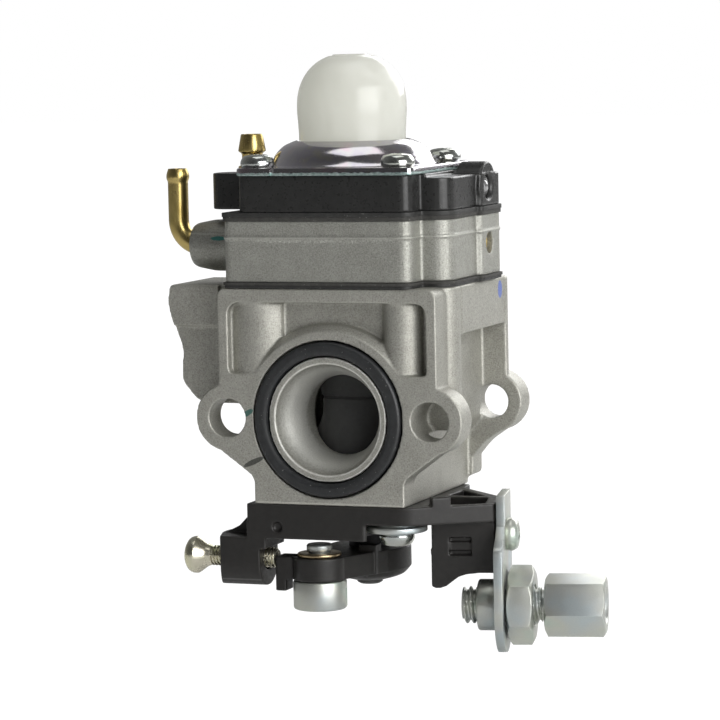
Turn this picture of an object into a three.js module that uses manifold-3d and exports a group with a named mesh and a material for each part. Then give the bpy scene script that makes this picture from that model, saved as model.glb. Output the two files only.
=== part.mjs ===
// Rotary-valve diaphragm carburettor with a primer bulb, as fitted to small two-stroke engines.
// Millimetres. The origin is the centre of the bore in the engine face. +Y runs from the air
// intake to the engine, +Z runs up to the primer bulb, and the throttle lever hangs below.
import * as THREE from 'three';
import { mergeVertices } from 'three/addons/utils/BufferGeometryUtils.js';
import Module from 'manifold-3d';

const wasm = await Module();
wasm.setup();

// ---- driving dimensions -------------------------------------------------------------------

const GAP = 0.3; // room left round a piece that sits inside another
const LARGE = 24; // sides of the large round shapes

const HOLE_SPACING = 31; // the two through bolts that hold the carburettor to the engine
const INTAKE_FACE = -32; // the air intake face; the engine face is at 0
const FLANGE_T = 4.5;
const BODY_TOP = 18.8;
const BODY_BOTTOM = -12.4;
const THROAT_R = 5.8;
const MOUTH_R = 7.8;
const SEAL_R = [9.0, 11.4];
const SEAT_R = 13.3;

const STACK = { x: 0.2, y: -20 }; // axis of the primer bulb and the metering chamber
const COVER_SCREW = { x: 10.7, dy: 9.9, r: 1.5, headR: 2.45 };
const PUMP_TOP = 28.4;
const PUMP_LEFT = -15.5;
const PURGE_BOTTOM = 29.6;
const PURGE_TOP = 34.9;
const PLATE_T = 1.1;
const SKIRT_TOP = 39.6;
const BULB = { r: 7.75, bellyR: 7.95, bellyZ: 44.5, top: 52.1, wall: 1.0, flangeR: 10.8 };
const CHAMBER_R = 9.5;

const ROTOR = { y: -16, r: 8.0, bottom: -10.6, top: 8.0, shaftR: 3.0 };
const SWEEP = 76; // degrees from idle to full throttle
const LIFT = 1.2; // the rotor sinks this far by full throttle

const SLAB_T = 2.6;
const CUP_BOTTOM = -17.4;
const LEVER = { top: -20.3, t: 3.3, hubR: 6.2, hubBottom: -25.9 };
const SWIVEL = { x: -3.2, y: -28, r: 3.9, bottom: -27.9 };
const SWIVEL_REACH = Math.hypot(SWIVEL.x, SWIVEL.y - ROTOR.y) + SWIVEL.r;
const IDLE = { y: -28.3, z: -20.7, r: 1.5, tip: -9.6 };
const BRACKET_SCREWS = [{ x: 8.7, y: -27.6 }, { x: -8.7, y: -7.6 }];

const ARM = { x: 21.55, y: -20.65, turn: 12 }; // end face of the cable arm
const CABLE = { y: -2, z: -27.3, threadR: 2.7, headAF: 8, nutAF: 10 };

// ---- materials ----------------------------------------------------------------------------

const finish = (color, roughness, metalness) =>
	new THREE.MeshStandardMaterial({ color, roughness, metalness });

const CAST = finish(0x9a9a96, 0.6, 0.8);
const GREY_CAST = finish(0x8f9088, 0.6, 0.7);
const BLACK_PLASTIC = finish(0x2b2926, 0.6, 0);
const RUBBER = finish(0x1b1b1d, 0.7, 0);
const CHROME = finish(0xd8d8da, 0.2, 1);
const ZINC = finish(0xb9c2b8, 0.35, 1);
const YELLOW_ZINC = finish(0xc9c38f, 0.35, 1);
const BRASS = finish(0xc09a4a, 0.3, 1);
const BULB_PLASTIC = finish(0xdfe0d6, 0.3, 0);
const FIBRE = finish(0x33322f, 0.9, 0);
const SPRING_STEEL = finish(0x8a8a88, 0.3, 1);
const BRONZE = finish(0x9b7b4a, 0.35, 1);

// ---- shape helpers ------------------------------------------------------------------------

// A closed outline through corners [x, y, rounding]; a rounded corner is a smooth curve.
function outline(corners) {
	const shape = new THREE.Shape();
	corners.forEach(([x, y, r = 0], i) => {
		const before = corners.at(i - 1);
		const after = corners[(i + 1) % corners.length];
		const step = (to) => {
			const away = new THREE.Vector2(to[0] - x, to[1] - y).normalize();
			return [x + away.x * r, y + away.y * r];
		};
		const start = step(before);
		if (i === 0) shape.moveTo(...start);
		else shape.lineTo(...start);
		if (r > 0) shape.quadraticCurveTo(x, y, ...step(after));
	});
	shape.closePath();
	return shape;
}

// Turns a geometry made along +Z so that it lies along 'x' (drawn in Y, Z) or 'y' (drawn in X, Z).
function lay(geometry, axis) {
	if (axis === 'x') {
		const basis = new THREE.Matrix4().makeBasis(
			new THREE.Vector3(0, 1, 0),
			new THREE.Vector3(0, 0, 1),
			new THREE.Vector3(1, 0, 0),
		);
		geometry.applyMatrix4(basis);
	}
	if (axis === 'y') geometry.rotateX(Math.PI / 2);
	return geometry;
}

// A prism of an outline from one height to another. Along 'y' the heights run from low to high.
function prism(shape, from, to, axis = 'z', curveSegments = 2) {
	const geometry = new THREE.ExtrudeGeometry(shape, {
		depth: to - from,
		bevelEnabled: false,
		curveSegments,
	});
	geometry.translate(0, 0, axis === 'y' ? -to : from);
	return lay(geometry, axis);
}

function box(x, y, z) {
	const geometry = new THREE.BoxGeometry(x[1] - x[0], y[1] - y[0], z[1] - z[0]);
	return geometry.translate((x[0] + x[1]) / 2, (y[0] + y[1]) / 2, (z[0] + z[1]) / 2);
}

// A turned solid from profile points [radius, height], rising outside and falling inside.
function turned(profile, sides = 14) {
	const points = profile.map(([r, h]) => new THREE.Vector2(r, h));
	return new THREE.LatheGeometry(points, sides).rotateX(Math.PI / 2);
}

function rod(r, from, to, sides = 10) {
	return turned([[0, from], [r, from], [r, to], [0, to]], sides);
}

function ring(inner, outer, from, to, sides = 16) {
	return turned([[inner, from], [outer, from], [outer, to], [inner, to], [inner, from]], sides);
}

// A round solid laid along X or Y: the profile's heights become its places along that axis.
const alongX = (geometry, y, z) => geometry.rotateY(Math.PI / 2).translate(0, y, z);
const alongY = (geometry, x, z) => geometry.rotateX(-Math.PI / 2).translate(x, 0, z);
const at = (geometry, x, y, z = 0) => geometry.translate(x, y, z);

function toSolid(geometry) {
	if (geometry instanceof wasm.Manifold) return geometry;
	const bare = geometry.clone();
	bare.deleteAttribute('normal');
	bare.deleteAttribute('uv');
	const merged = mergeVertices(bare, 1e-4);
	const corners = [];
	for (let i = 0; i < merged.index.count; i += 3) {
		const face = [0, 1, 2].map((k) => merged.index.getX(i + k));
		if (new Set(face).size === 3) corners.push(...face);
	}
	return new wasm.Manifold(new wasm.Mesh({
		numProp: 3,
		vertProperties: new Float32Array(merged.attributes.position.array),
		triVerts: new Uint32Array(corners),
	}));
}

const join = (...pieces) => pieces.map(toSolid).reduce((sum, next) => sum.add(next));
const cut = (base, ...tools) =>
	tools.map(toSolid).reduce((left, tool) => left.subtract(tool), toSolid(base));
const keep = (a, b) => toSolid(a).intersect(toSolid(b));

const model = new THREE.Group();

function toGeometry(solid) {
	const { vertProperties, triVerts } = solid.getMesh();
	const geometry = new THREE.BufferGeometry();
	geometry.setAttribute('position', new THREE.BufferAttribute(new Float32Array(vertProperties), 3));
	geometry.setIndex(new THREE.BufferAttribute(new Uint32Array(triVerts), 1));
	return geometry;
}

function add(name, shape, material, parent = model) {
	const geometry = toGeometry(toSolid(shape));
	geometry.computeVertexNormals();
	const mesh = new THREE.Mesh(geometry, material);
	mesh.name = name;
	parent.add(mesh);
}

const mirrored = (corners) => [
	...corners,
	...corners.toReversed().map(([x, y, r]) => [-x, y, r]),
];

const coverScrewPlaces = [-1, 1].flatMap((side) =>
	[-1, 1].map((end) => ({ x: side * COVER_SCREW.x, y: STACK.y + end * COVER_SCREW.dy })));

// ---- main body ----------------------------------------------------------------------------

function intakeFlange() {
	const half = HOLE_SPACING / 2;
	const plate = outline(mirrored([
		[16.7, BODY_TOP, 1.5],
		[16.7, 3.5],
		[19.6, -2.6],
		[11.5, -8.5, 1],
		[11.5, BODY_BOTTOM],
	]));
	const back = INTAKE_FACE + FLANGE_T;
	const ears = [-half, half].map((x) => alongY(rod(4.85, INTAKE_FACE, back, 20), x, 0));
	const pocket = prism(
		outline([[-15.1, 6.4, 1], [15.2, 6.4, 1], [15.2, 16.7, 2], [-15.1, 16.7, 2]]),
		INTAKE_FACE - 1, INTAKE_FACE + 2.8, 'y',
	);
	const seat = keep(
		alongY(rod(SEAT_R, INTAKE_FACE, back, LARGE), 0, 0),
		box([-20, 20], [-40, 0], [2, BODY_TOP]),
	);
	const wideBoss = keep(
		at(rod(5, 3, BODY_TOP, 40), -11.4, INTAKE_FACE + 5.05),
		box([-15.3, -7.4], [INTAKE_FACE, -27], [3, BODY_TOP]),
	);
	const narrowBoss = at(rod(3, 3, BODY_TOP), 10.9, INTAKE_FACE + 3.1);
	const pocketed = cut(prism(plate, INTAKE_FACE, back, 'y'), pocket);
	return join(pocketed, seat, ...ears, wideBoss, narrowBoss);
}

function engineFlange() {
	const half = HOLE_SPACING / 2;
	const plate = outline(mirrored([
		[17.9, BODY_TOP, 0.5],
		[17.9, 3],
		[19.2, -2.75],
		[14.3, -6.1, 1],
		[12.4, -8.3],
		[12.4, -11.3, 1],
	]));
	const ears = [-half, half].map((x) => alongY(rod(4.6, -4.3, 0, 20), x, 0));
	const reliefs = [[-18.5, -15.3], [15.3, 18.5]].map((x) => box(x, [-3, 1], [1, BODY_TOP + 1]));
	return join(cut(prism(plate, -4.3, 0, 'y'), ...reliefs), ...ears);
}

// The lobed casting on the left, which carries the pulse and fuel passages.
function sideCasting() {
	const lobe = outline([
		[-13, BODY_TOP],
		[-26.5, BODY_TOP, 0.6],
		[-27, 16, 1.5],
		[-25.9, 12.2, 1],
		[-24.9, 9.4, 1],
		[-25.2, 4.6, 1],
		[-22.4, 1.4, 1.5],
		[-13, 1.2],
	]);
	const step = box([-27.5, -18.8], [-27, -25.8], [0, 12.8]);
	const gap = box([-18.8, -16.8], [-27, -25.2], [0, BODY_TOP + 1]);
	return cut(prism(lobe, -26.4, -11, 'y'), step, gap);
}

function mainBody() {
	const core = outline(mirrored([
		[14, BODY_TOP],
		[14, -2, 1],
		[11.5, -5, 1],
		[11.5, BODY_BOTTOM],
	]));
	const ledge = box([13.5, 17.7], [-23.3, -4.2], [11.8, BODY_TOP]);
	const column = at(rod(3.2, -2, BODY_TOP), 14.6, -25);
	const casting = join(
		prism(core, -28, -4, 'y'), ledge, column, intakeFlange(), engineFlange(), sideCasting(),
	);
	const half = HOLE_SPACING / 2;
	const throat = turned([
		[0, INTAKE_FACE - 1],
		[MOUTH_R, INTAKE_FACE - 1],
		[MOUTH_R, INTAKE_FACE + 0.8],
		[6.6, INTAKE_FACE + 3],
		[THROAT_R, INTAKE_FACE + 6.5],
		[THROAT_R, -5],
		[6.3, 1],
		[0, 1],
	], LARGE);
	const groove = ring(...SEAL_R, INTAKE_FACE - 1, INTAKE_FACE + 2.6, LARGE);
	return cut(
		casting,
		alongY(throat, 0, 0),
		alongY(groove, 0, 0),
		...[-half, half].map((x) => alongY(rod(2.8, INTAKE_FACE - 1, -25), x, 0)),
		...[-half, half].map((x) => alongY(rod(2.5, -5, 1), x, 0)),
		at(rod(ROTOR.r + GAP, BODY_BOTTOM - 1, 8.9, LARGE), 0, ROTOR.y),
		at(rod(1.8, 8, BODY_TOP + 1, 16), 0, ROTOR.y),
		at(rod(2.9, 15.6, BODY_TOP + 1, 20), 0, ROTOR.y),
		alongY(rod(1.2, -6, 1, 12), 9.8, 11),
		...coverScrewPlaces.map(({ x, y }) => at(rod(COVER_SCREW.r + 0.2, 8, BODY_TOP + 1), x, y)),
		...BRACKET_SCREWS.map(({ x, y }) => at(rod(1.7, BODY_BOTTOM - 1, -5.5), x, y)),
		alongX(rod(2.5, -28, -25.6, 20), -17, 16),
	);
}

function addMainBody() {
	add('main_body', mainBody(), CAST);
	const seal = ring(SEAL_R[0] + 0.2, SEAL_R[1] - 0.2, INTAKE_FACE - 0.5, INTAKE_FACE + 2.5, LARGE);
	add('intake_seal', alongY(seal, 0, 0), RUBBER);
	const nozzle = turned([
		[1.0, 0.2], [1.45, 0.2], [1.45, 15.7], [2.6, 15.7], [2.6, 18.2], [1.0, 18.2], [1.0, 0.2],
	], 16);
	add('fuel_nozzle', at(nozzle, 0, ROTOR.y), BRASS);
	add('side_passage_plug', alongX(rod(2.2, -27.4, -25.7, 20), -17, 16), ZINC);
}

// ---- fuel pump and metering stack ---------------------------------------------------------

// Plan outline of the pump layers, grown by a margin all round.
function stackOutline(left, grow = 0) {
	return outline([
		[left - grow, INTAKE_FACE - grow, 1.2],
		[13.1 + grow, INTAKE_FACE - grow, 2],
		[13.1 + grow, -27.7 - grow, 0.5],
		[17.5 + grow, -27.7 - grow, 3],
		[17.5 + grow, -16 - grow, 0.4],
		[18.4 + grow, -16 - grow, 0.8],
		[18.4 + grow, -7 + grow, 1.5],
		[left - grow, -7 + grow, 1.5],
	]);
}

const screwHoles = (from, to) =>
	coverScrewPlaces.map(({ x, y }) => at(rod(COVER_SCREW.r + 0.2, from, to), x, y));

function pumpLayer(from, to, left, grow, ...cuts) {
	return cut(prism(stackOutline(left, grow), from, to), ...screwHoles(from - 1, to + 1), ...cuts);
}

function pumpBody() {
	const { x, y } = STACK;
	const boss = turned([
		[0, -24.8], [3.0, -24.8], [3.3, -24.2], [3.8, -21.5], [3.8, -15], [0, -15],
	], 24);
	const body = join(
		prism(stackOutline(PUMP_LEFT), BODY_TOP + 0.8, PUMP_TOP),
		alongX(boss, y, 24.2),
	);
	const chamber = at(rod(CHAMBER_R, 24.6, PUMP_TOP + 1, LARGE), x, y);
	const posts = [-3.4, 3.4].map((dx) => box([x + dx - 0.8, x + dx + 0.8], [-17.7, -15.3], [24, 27.2]));
	return cut(
		join(cut(body, chamber), ...posts),
		...screwHoles(19, 29),
		alongX(rod(0.65, -4.5, 4.8, 12), -16.5, 26.2),
		at(rod(1.7, 22.4, 25, 14), x, -18.9),
		at(rod(1.15, 21.4, 25, 14), x, -14.4),
		at(rod(0.5, 19, 22, 8), x, -14.4),
		alongX(rod(1.8, -26, -12.6, 14), y, 24.2),
		at(rod(2.2, 19, 24.2, 16), -12.6, y),
		alongX(rod(1.6, 13.5, 19, 14), -12.5, 24.2),
	);
}

// Brass tube bent up from the side of the pump body, with a barb for the fuel hose.
function inletElbow() {
	const tubeR = 1.5;
	const bend = 3.7;
	const z = 24.2;
	const rise = 9.2;
	const legX = -27.6;
	const path = new THREE.CurvePath();
	const start = new THREE.Vector3(-15, STACK.y, z);
	const bendStart = new THREE.Vector3(legX + bend, STACK.y, z);
	const bendEnd = new THREE.Vector3(legX, STACK.y, z + bend);
	const round = bend * 0.5523;
	path.add(new THREE.LineCurve3(start, bendStart));
	path.add(new THREE.CubicBezierCurve3(
		bendStart,
		bendStart.clone().add(new THREE.Vector3(-round, 0, 0)),
		bendEnd.clone().add(new THREE.Vector3(0, 0, -round)),
		bendEnd,
	));
	path.add(new THREE.LineCurve3(bendEnd, new THREE.Vector3(legX, STACK.y, z + rise)));
	const section = new THREE.Shape().absarc(0, 0, tubeR, 0, Math.PI * 2);
	section.holes.push(new THREE.Path().absarc(0, 0, 0.95, 0, Math.PI * 2, true));
	const tube = new THREE.ExtrudeGeometry(section, {
		steps: 10,
		extrudePath: path,
		bevelEnabled: false,
		curveSegments: 4,
	});
	const barb = turned([
		[0.95, z + rise - 0.4], [1.55, z + rise - 0.4], [1.7, z + rise + 0.3], [1.35, z + 11.3],
		[0.95, z + 11.3], [0.95, z + rise - 0.4],
	], 16);
	return join(tube, at(barb, legX, STACK.y));
}

function addPump() {
	const sheetT = 0.4;
	const middle = BODY_TOP + sheetT;
	const fuelHole = at(rod(1.2, 18, 20, 12), 0, ROTOR.y);
	const screenHole = at(rod(2.2, 18, 20, 16), -12.6, STACK.y);
	add('pump_diaphragm', pumpLayer(BODY_TOP, middle, PUMP_LEFT, 0.15, fuelHole), RUBBER);
	add('pump_gasket', pumpLayer(middle, middle + sheetT, PUMP_LEFT, GAP, screenHole), FIBRE);
	add('pump_body', pumpBody(), GREY_CAST);
	add('inlet_screen', at(rod(1.95, 20.2, 20.6, 16), -12.6, STACK.y), BRASS);
	add('fuel_inlet_elbow', inletElbow(), BRASS);
	add('pump_passage_plug', alongX(rod(1.35, 14.6, 17.6, 14), -12.5, 24.2), BRASS);
}

// Helical wire spring standing on Z.
function coil(r, wire, from, turns, pitch) {
	class Helix extends THREE.Curve {
		getPoint(t, target = new THREE.Vector3()) {
			const angle = 2 * Math.PI * turns * t;
			return target.set(r * Math.cos(angle), r * Math.sin(angle), from + turns * pitch * t);
		}
	}
	const section = new THREE.Shape().absarc(0, 0, wire / 2, 0, Math.PI * 2);
	return new THREE.ExtrudeGeometry(section, {
		steps: turns * 9,
		extrudePath: new Helix(),
		bevelEnabled: false,
		curveSegments: 3,
	});
}

function addMetering() {
	const { x, y } = STACK;
	const opening = at(rod(CHAMBER_R, 28, 31, LARGE), x, y);
	add('metering_gasket', pumpLayer(PUMP_TOP, 29, PUMP_LEFT, 0.2, opening), FIBRE);
	const diaphragmHole = at(rod(5, 28, 31, 32), x, y);
	add('metering_diaphragm', pumpLayer(29, PURGE_BOTTOM, PUMP_LEFT, GAP, diaphragmHole), RUBBER);
	const plate = turned([
		[0, 26.85], [0.4, 26.85], [1.3, 27.9], [1.3, 29.05], [4.7, 29.05], [4.7, 29.5],
		[1.8, 29.5], [1.6, 30.1], [0, 30.1],
	], 28);
	add('diaphragm_plate', at(plate, x, y), ZINC);
	const pivotY = -16.5;
	const arm = box([x - 1.3, x + 1.3], [y - 1.2, -13.4], [26.0, 26.7]);
	const hub = alongX(rod(1.15, -1.3, 1.3, 16), pivotY, 26.2).translate(x, 0, 0);
	const pinHole = alongX(rod(0.65, -3, 3, 12), pivotY, 26.2).translate(x, 0, 0);
	add('metering_lever', cut(join(arm, hub), pinHole), ZINC);
	add('metering_lever_pin', alongX(rod(0.55, -4.1, 4.5, 12), pivotY, 26.2), SPRING_STEEL);
	add('metering_spring', at(coil(1.05, 0.4, 22.75, 4, 0.72), x, -18.9), SPRING_STEEL);
	const needle = turned([[0, 21.8], [0.3, 21.9], [0.85, 23.2], [0.85, 25.75], [0, 25.75]], 12);
	add('inlet_needle', at(needle, x, -14.4), SPRING_STEEL);
}

// ---- purge body, primer bulb and cover ----------------------------------------------------

function purgeBody() {
	const base = cut(
		prism(stackOutline(-13.1), PURGE_BOTTOM, PURGE_TOP),
		box([14.0, 20], [-34, -6], [34.3, 36]),
	);
	const fittingBoss = prism(outline([
		[-12, STACK.y - 3.1], [-12, STACK.y + 3.1], [-21.5, STACK.y + 3.1, 3], [-21.5, STACK.y - 3.1, 3],
	]), PURGE_BOTTOM, PURGE_TOP);
	const arch = alongX(rod(3.6, 14.3, 18.3, 24), -12.6, 32.4);
	const archTop = keep(arch, box([14, 19], [-20, -5], [PURGE_BOTTOM, 37]));
	const { x, y } = STACK;
	return cut(
		join(base, fittingBoss, archTop),
		at(rod(CHAMBER_R, PURGE_BOTTOM - 1, 31.2, LARGE), x, y),
		at(rod(1.6, 32.1, 36, 16), x, y),
		at(rod(1.7, 31.8, 36, 16), -15.6, y),
		alongX(rod(1.7, 15, 19, 14), -12.6, 32.4),
		...screwHoles(29, 36),
	);
}

function returnFitting() {
	const base = PURGE_TOP;
	return turned([
		[0.9, 32.2], [1.4, 32.2], [1.4, base], [2.05, base], [2.05, base + 0.9], [1.7, base + 2.6],
		[2.05, base + 3.2], [1.6, base + 5.6], [0.9, base + 5.6], [0.9, 32.2],
	]);
}

// Hollow dome that is pressed to draw fuel through; its rim is gripped under the cover plate.
function primerBulb() {
	const { r, bellyR, bellyZ, top, wall, flangeR } = BULB;
	const arc = (radius, height, count) => Array.from({ length: count }, (_, i) => {
		const angle = (Math.PI / 2) * ((i + 1) / count);
		const bulge = Math.cos(angle) ** 0.85;
		return [i + 1 === count ? 0 : radius * bulge, bellyZ + height * Math.sin(angle) ** 0.95];
	});
	const outside = [
		[flangeR, PURGE_TOP], [flangeR, PURGE_TOP + 1], [r, PURGE_TOP + 1.4], [r, 40.5], [bellyR, bellyZ],
		...arc(bellyR, top - bellyZ, 5),
	];
	const inside = arc(bellyR - wall, top - wall - bellyZ, 3).toReversed();
	return turned([
		...outside, ...inside, [bellyR - wall, bellyZ], [r - wall, 40.5], [r - wall, PURGE_TOP],
		[flangeR, PURGE_TOP],
	], LARGE);
}

function coverPlate() {
	const sheet = prism(outline([
		[-13.1, -33, 1.5], [13.9, -33, 1.5], [13.9, -7, 1.5], [-13.1, -7, 1.5],
	]), PURGE_TOP, PURGE_TOP + PLATE_T);
	const top = PURGE_TOP + PLATE_T;
	const skirt = turned([
		[11.2, PURGE_TOP], [12.8, PURGE_TOP], [12.8, top], [12.4, top + 0.5], [11.3, top + 1.8],
		[9.6, top + 3.1], [8.1, SKIRT_TOP], [8.1, SKIRT_TOP - 1], [8.9, SKIRT_TOP - 1.2],
		[11.2, top + 0.3], [11.2, PURGE_TOP],
	], LARGE);
	const opening = at(rod(12, 30, 40, LARGE), STACK.x, STACK.y);
	const holes = screwHoles(34, 38);
	const seats = coverScrewPlaces.map((p) => at(rod(COVER_SCREW.headR + 0.15, top, 40, 14), p.x, p.y));
	const frontNotch = box([-7.7, -6.9], [-34, -32.4], [34, 37]);
	return cut(join(cut(sheet, opening), at(skirt, STACK.x, STACK.y)), ...holes, ...seats, frontNotch);
}

// Pan-head screw standing on Z, head up, with the underside of its head at `seat`.
function panScrew({ r, headR, headT, seat, length }) {
	const profile = [
		[0, seat - length], [r, seat - length], [r, seat], [headR, seat], [headR, seat + headT * 0.55],
		[headR * 0.7, seat + headT], [0, seat + headT],
	];
	const slot = box([-headR, headR], [-0.35, 0.35], [seat + headT * 0.6, seat + headT + 1]);
	return cut(turned(profile, 12), slot);
}

function addPurge() {
	const { x, y } = STACK;
	add('purge_body', purgeBody(), BLACK_PLASTIC);
	add('return_fitting', at(returnFitting(), -15.6, y), BRASS);
	add('passage_ball', at(new THREE.SphereGeometry(1.35, 12, 8), 16.9, -12.6, 32.4), ZINC);
	const valve = turned([
		[0, 32.4], [1.2, 32.4], [1.3, PURGE_TOP], [4.6, PURGE_TOP], [4.6, 35.3], [2, 36.1],
		[0.9, 37.6], [0, 37.6],
	], 20);
	add('purge_check_valve', at(valve, x, y), RUBBER);
	add('primer_bulb', at(primerBulb(), x, y), BULB_PLASTIC);
	add('primer_cover_plate', coverPlate(), CHROME);
	coverScrewPlaces.forEach((place, i) => {
		const { r, headR } = COVER_SCREW;
		const screw = panScrew({ r, headR, headT: 1.9, seat: PURGE_TOP + PLATE_T, length: 26 });
		add(`cover_screw_${i + 1}`, at(toGeometry(screw), place.x, place.y), ZINC);
	});
}

// ---- throttle cover bracket ---------------------------------------------------------------

const slabTop = BODY_BOTTOM;
const slabBottom = BODY_BOTTOM - SLAB_T;

function bracketSlab() {
	const slab = prism(outline([
		[-12.9, INTAKE_FACE, 0.6], [11.5, INTAKE_FACE, 1.5], [22.45, -24.7, 0.4], [20.7, -16.6, 0.4],
		[12.3, -8.5, 1], [12.3, -5, 1], [-12.9, -5, 1],
	]), slabBottom, slabTop);
	const cup = prism(outline([
		[-12.9, INTAKE_FACE, 0.6], [5.4, INTAKE_FACE, 0.6], [7.5, -22], [8.6, -18, 2], [8.6, -8.4, 3],
		[-12.9, -8.4, 1],
	]), CUP_BOTTOM, slabBottom + 0.1);
	const hook = prism(outline([
		[14.9, -29.75], [17.2, -28.2], [16.2, -26.8], [13.9, -28.3],
	]), slabTop - 0.2, slabTop + 1.3);
	const pocketFloor = slabBottom + 1;
	const pockets = [
		[[12.9, -18.6, 0.5], [19.5, -18.4, 0.5], [20.9, -24.2, 0.5], [17.6, -26.2], [13.2, -26.8, 0.5]],
		[[12.9, -17.3, 0.3], [18.6, -17.1, 0.3], [13.2, -11.2, 0.3]],
	].map((corners) => prism(outline(corners), pocketFloor, slabTop + 2));
	return cut(join(slab, cup, hook), ...pockets);
}

function idleBoss() {
	const half = 3.65;
	const centreZ = -21.1;
	const section = new THREE.Shape();
	section.moveTo(IDLE.y - half, CUP_BOTTOM + 0.1);
	section.lineTo(IDLE.y - half, centreZ);
	section.absarc(IDLE.y, centreZ, half, Math.PI, 2 * Math.PI);
	section.lineTo(IDLE.y + half, CUP_BOTTOM + 0.1);
	section.closePath();
	const plan = prism(outline([
		[-16.8, -33], [-18.6, -27.4, 1], [-18.4, -24], [-11, -24], [-11, -33],
	]), -26, -17);
	const gusset = prism(outline([
		[-12.5, slabTop - 0.6], [-12.5, CUP_BOTTOM - 1], [-17.8, CUP_BOTTOM - 1], [-17.8, CUP_BOTTOM + 0.1],
	]), -28.2, -26.6, 'y');
	const web = box([-12.9, -10], [INTAKE_FACE, -24.6], [-19, -15]);
	return join(keep(prism(section, -19, -11, 'x', 8), plan), gusset, web);
}

// Walls under the cable arm, built square to the cable and then turned with the arm.
function cableArm() {
	const wall = new THREE.Shape();
	wall.moveTo(-9.3, slabBottom + 0.2);
	wall.lineTo(-9.3, -24);
	wall.quadraticCurveTo(-9.3, -24.7, -8.7, -24.7);
	wall.lineTo(-8, -24.7);
	wall.quadraticCurveTo(-7, -24.5, -6.2, -23.7);
	wall.quadraticCurveTo(-4.8, -22.6, -2.4, -22.5);
	wall.lineTo(0, -22.5);
	wall.lineTo(0, slabBottom + 0.2);
	const front = prism(wall, -3.6, -2.2, 'y');
	const rear = prism(outline([
		[-7, slabBottom + 0.2], [0, slabBottom + 0.2], [0, -22.5], [-3, -22.5, 1],
	]), 2.6, 4, 'y');
	const end = box([-2, 0], [-3.6, 4], [-22.5, slabBottom + 0.2]);
	const window = box([-6.7, -3.4], [-4, -3.2], [-19.2, -17.4]);
	const arm = cut(join(front, rear, end), window, alongX(rod(1.35, -3, 1, 12), -1, -17.2));
	return toGeometry(arm).rotateZ(THREE.MathUtils.degToRad(ARM.turn)).translate(ARM.x, ARM.y, 0);
}

// Room for the lever's eye, which sweeps past the front wall of the arm.
function eyeSweep() {
	const reach = SWIVEL_REACH + 0.25;
	const degrees = THREE.MathUtils.degToRad;
	const start = degrees(-23);
	const sector = new THREE.Shape();
	sector.moveTo(6, ROTOR.y - 6.5);
	sector.lineTo(reach * Math.cos(start), ROTOR.y + reach * Math.sin(start));
	sector.absarc(0, ROTOR.y, reach, start, degrees(-62), true);
	sector.closePath();
	return prism(sector, -26, LEVER.top + 0.5);
}

function bracket() {
	return cut(
		join(bracketSlab(), idleBoss(), cableArm()),
		at(rod(6.6, -16.4, slabTop + 1, 32), 0, ROTOR.y),
		at(rod(ROTOR.shaftR + 0.2, -19, -15, 24), 0, ROTOR.y),
		alongX(rod(IDLE.r + 0.25, -20, -9, 16), IDLE.y, IDLE.z),
		eyeSweep(),
		...BRACKET_SCREWS.flatMap(({ x, y }) => [
			at(rod(1.7, -19, slabTop + 1), x, y),
			at(rod(5, -19, slabBottom, 24), x, y),
		]),
	);
}

function addBracket() {
	add('throttle_cover_bracket', bracket(), BLACK_PLASTIC);
	BRACKET_SCREWS.forEach(({ x, y }, i) => {
		const seat = slabBottom - 1.3;
		add(`bracket_washer_${i + 1}`, at(ring(1.8, 4.4, seat, slabBottom, 24), x, y), ZINC);
		const screw = toGeometry(panScrew({ r: 1.5, headR: 2.55, headT: 2.2, seat: -seat, length: 10 }));
		add(`bracket_screw_${i + 1}`, screw.rotateX(Math.PI).translate(x, y, 0), ZINC);
	});
}

// ---- throttle: rotor, lever and cable swivel ----------------------------------------------

function rotor() {
	const { y, r, bottom, top, shaftR } = ROTOR;
	const barrel = turned([
		[0, LEVER.top - LEVER.t - 1.6], [2, LEVER.top - LEVER.t - 1.6], [2, LEVER.top], [shaftR, LEVER.top],
		[shaftR, bottom], [r, bottom], [r, top], [0, top],
	], LARGE);
	const port = alongY(rod(5.7, -10, 10, 32), 0, LIFT).rotateZ(THREE.MathUtils.degToRad(-SWEEP));
	const nozzleWell = rod(1.8, 5, top + 1, 16);
	const needleHole = rod(1.2, LEVER.top - LEVER.t - 2, 0, 12);
	return at(toGeometry(cut(barrel, port, nozzleWell, needleHole)), 0, y);
}

function lever() {
	const { top, t, hubR, hubBottom } = LEVER;
	const bottom = top - t;
	const hub = turned([
		[0, hubBottom + 0.6], [2.8, hubBottom + 0.6], [5, bottom - 0.9], [hubR, bottom + 0.3],
		[hubR, top], [0, top],
	], 32);
	const eye = at(rod(SWIVEL.r, bottom, top, 28), SWIVEL.x, SWIVEL.y);
	const arm = prism(outline([
		[-5.4, -18], [-7.0, -27.5], [0.6, -28.4], [5.6, -18],
	]), bottom, top);
	const tab = prism(outline([
		[-9.4, -30, 0.4], [-7.6, -30, 0.4], [-5.4, -29.5], [-5.4, -26.4], [-9.4, -26.4, 0.4],
	]), bottom, top);
	const finger = prism(outline([
		[-9.4, -30, 0.4], [-7.7, -30, 0.4], [-7.7, -27, 0.4], [-9.4, -27, 0.4],
	]), bottom - 1.7, top);
	const lug = box([0.9, 3.6], [-22.8, -20.6], [bottom, top + 1]);
	return cut(
		join(at(hub, 0, ROTOR.y), eye, arm, tab, finger, lug),
		at(rod(2.25, -28, -19, 20), 0, ROTOR.y),
		at(rod(1.8, -28, -19, 16), SWIVEL.x, SWIVEL.y),
	);
}

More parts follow.
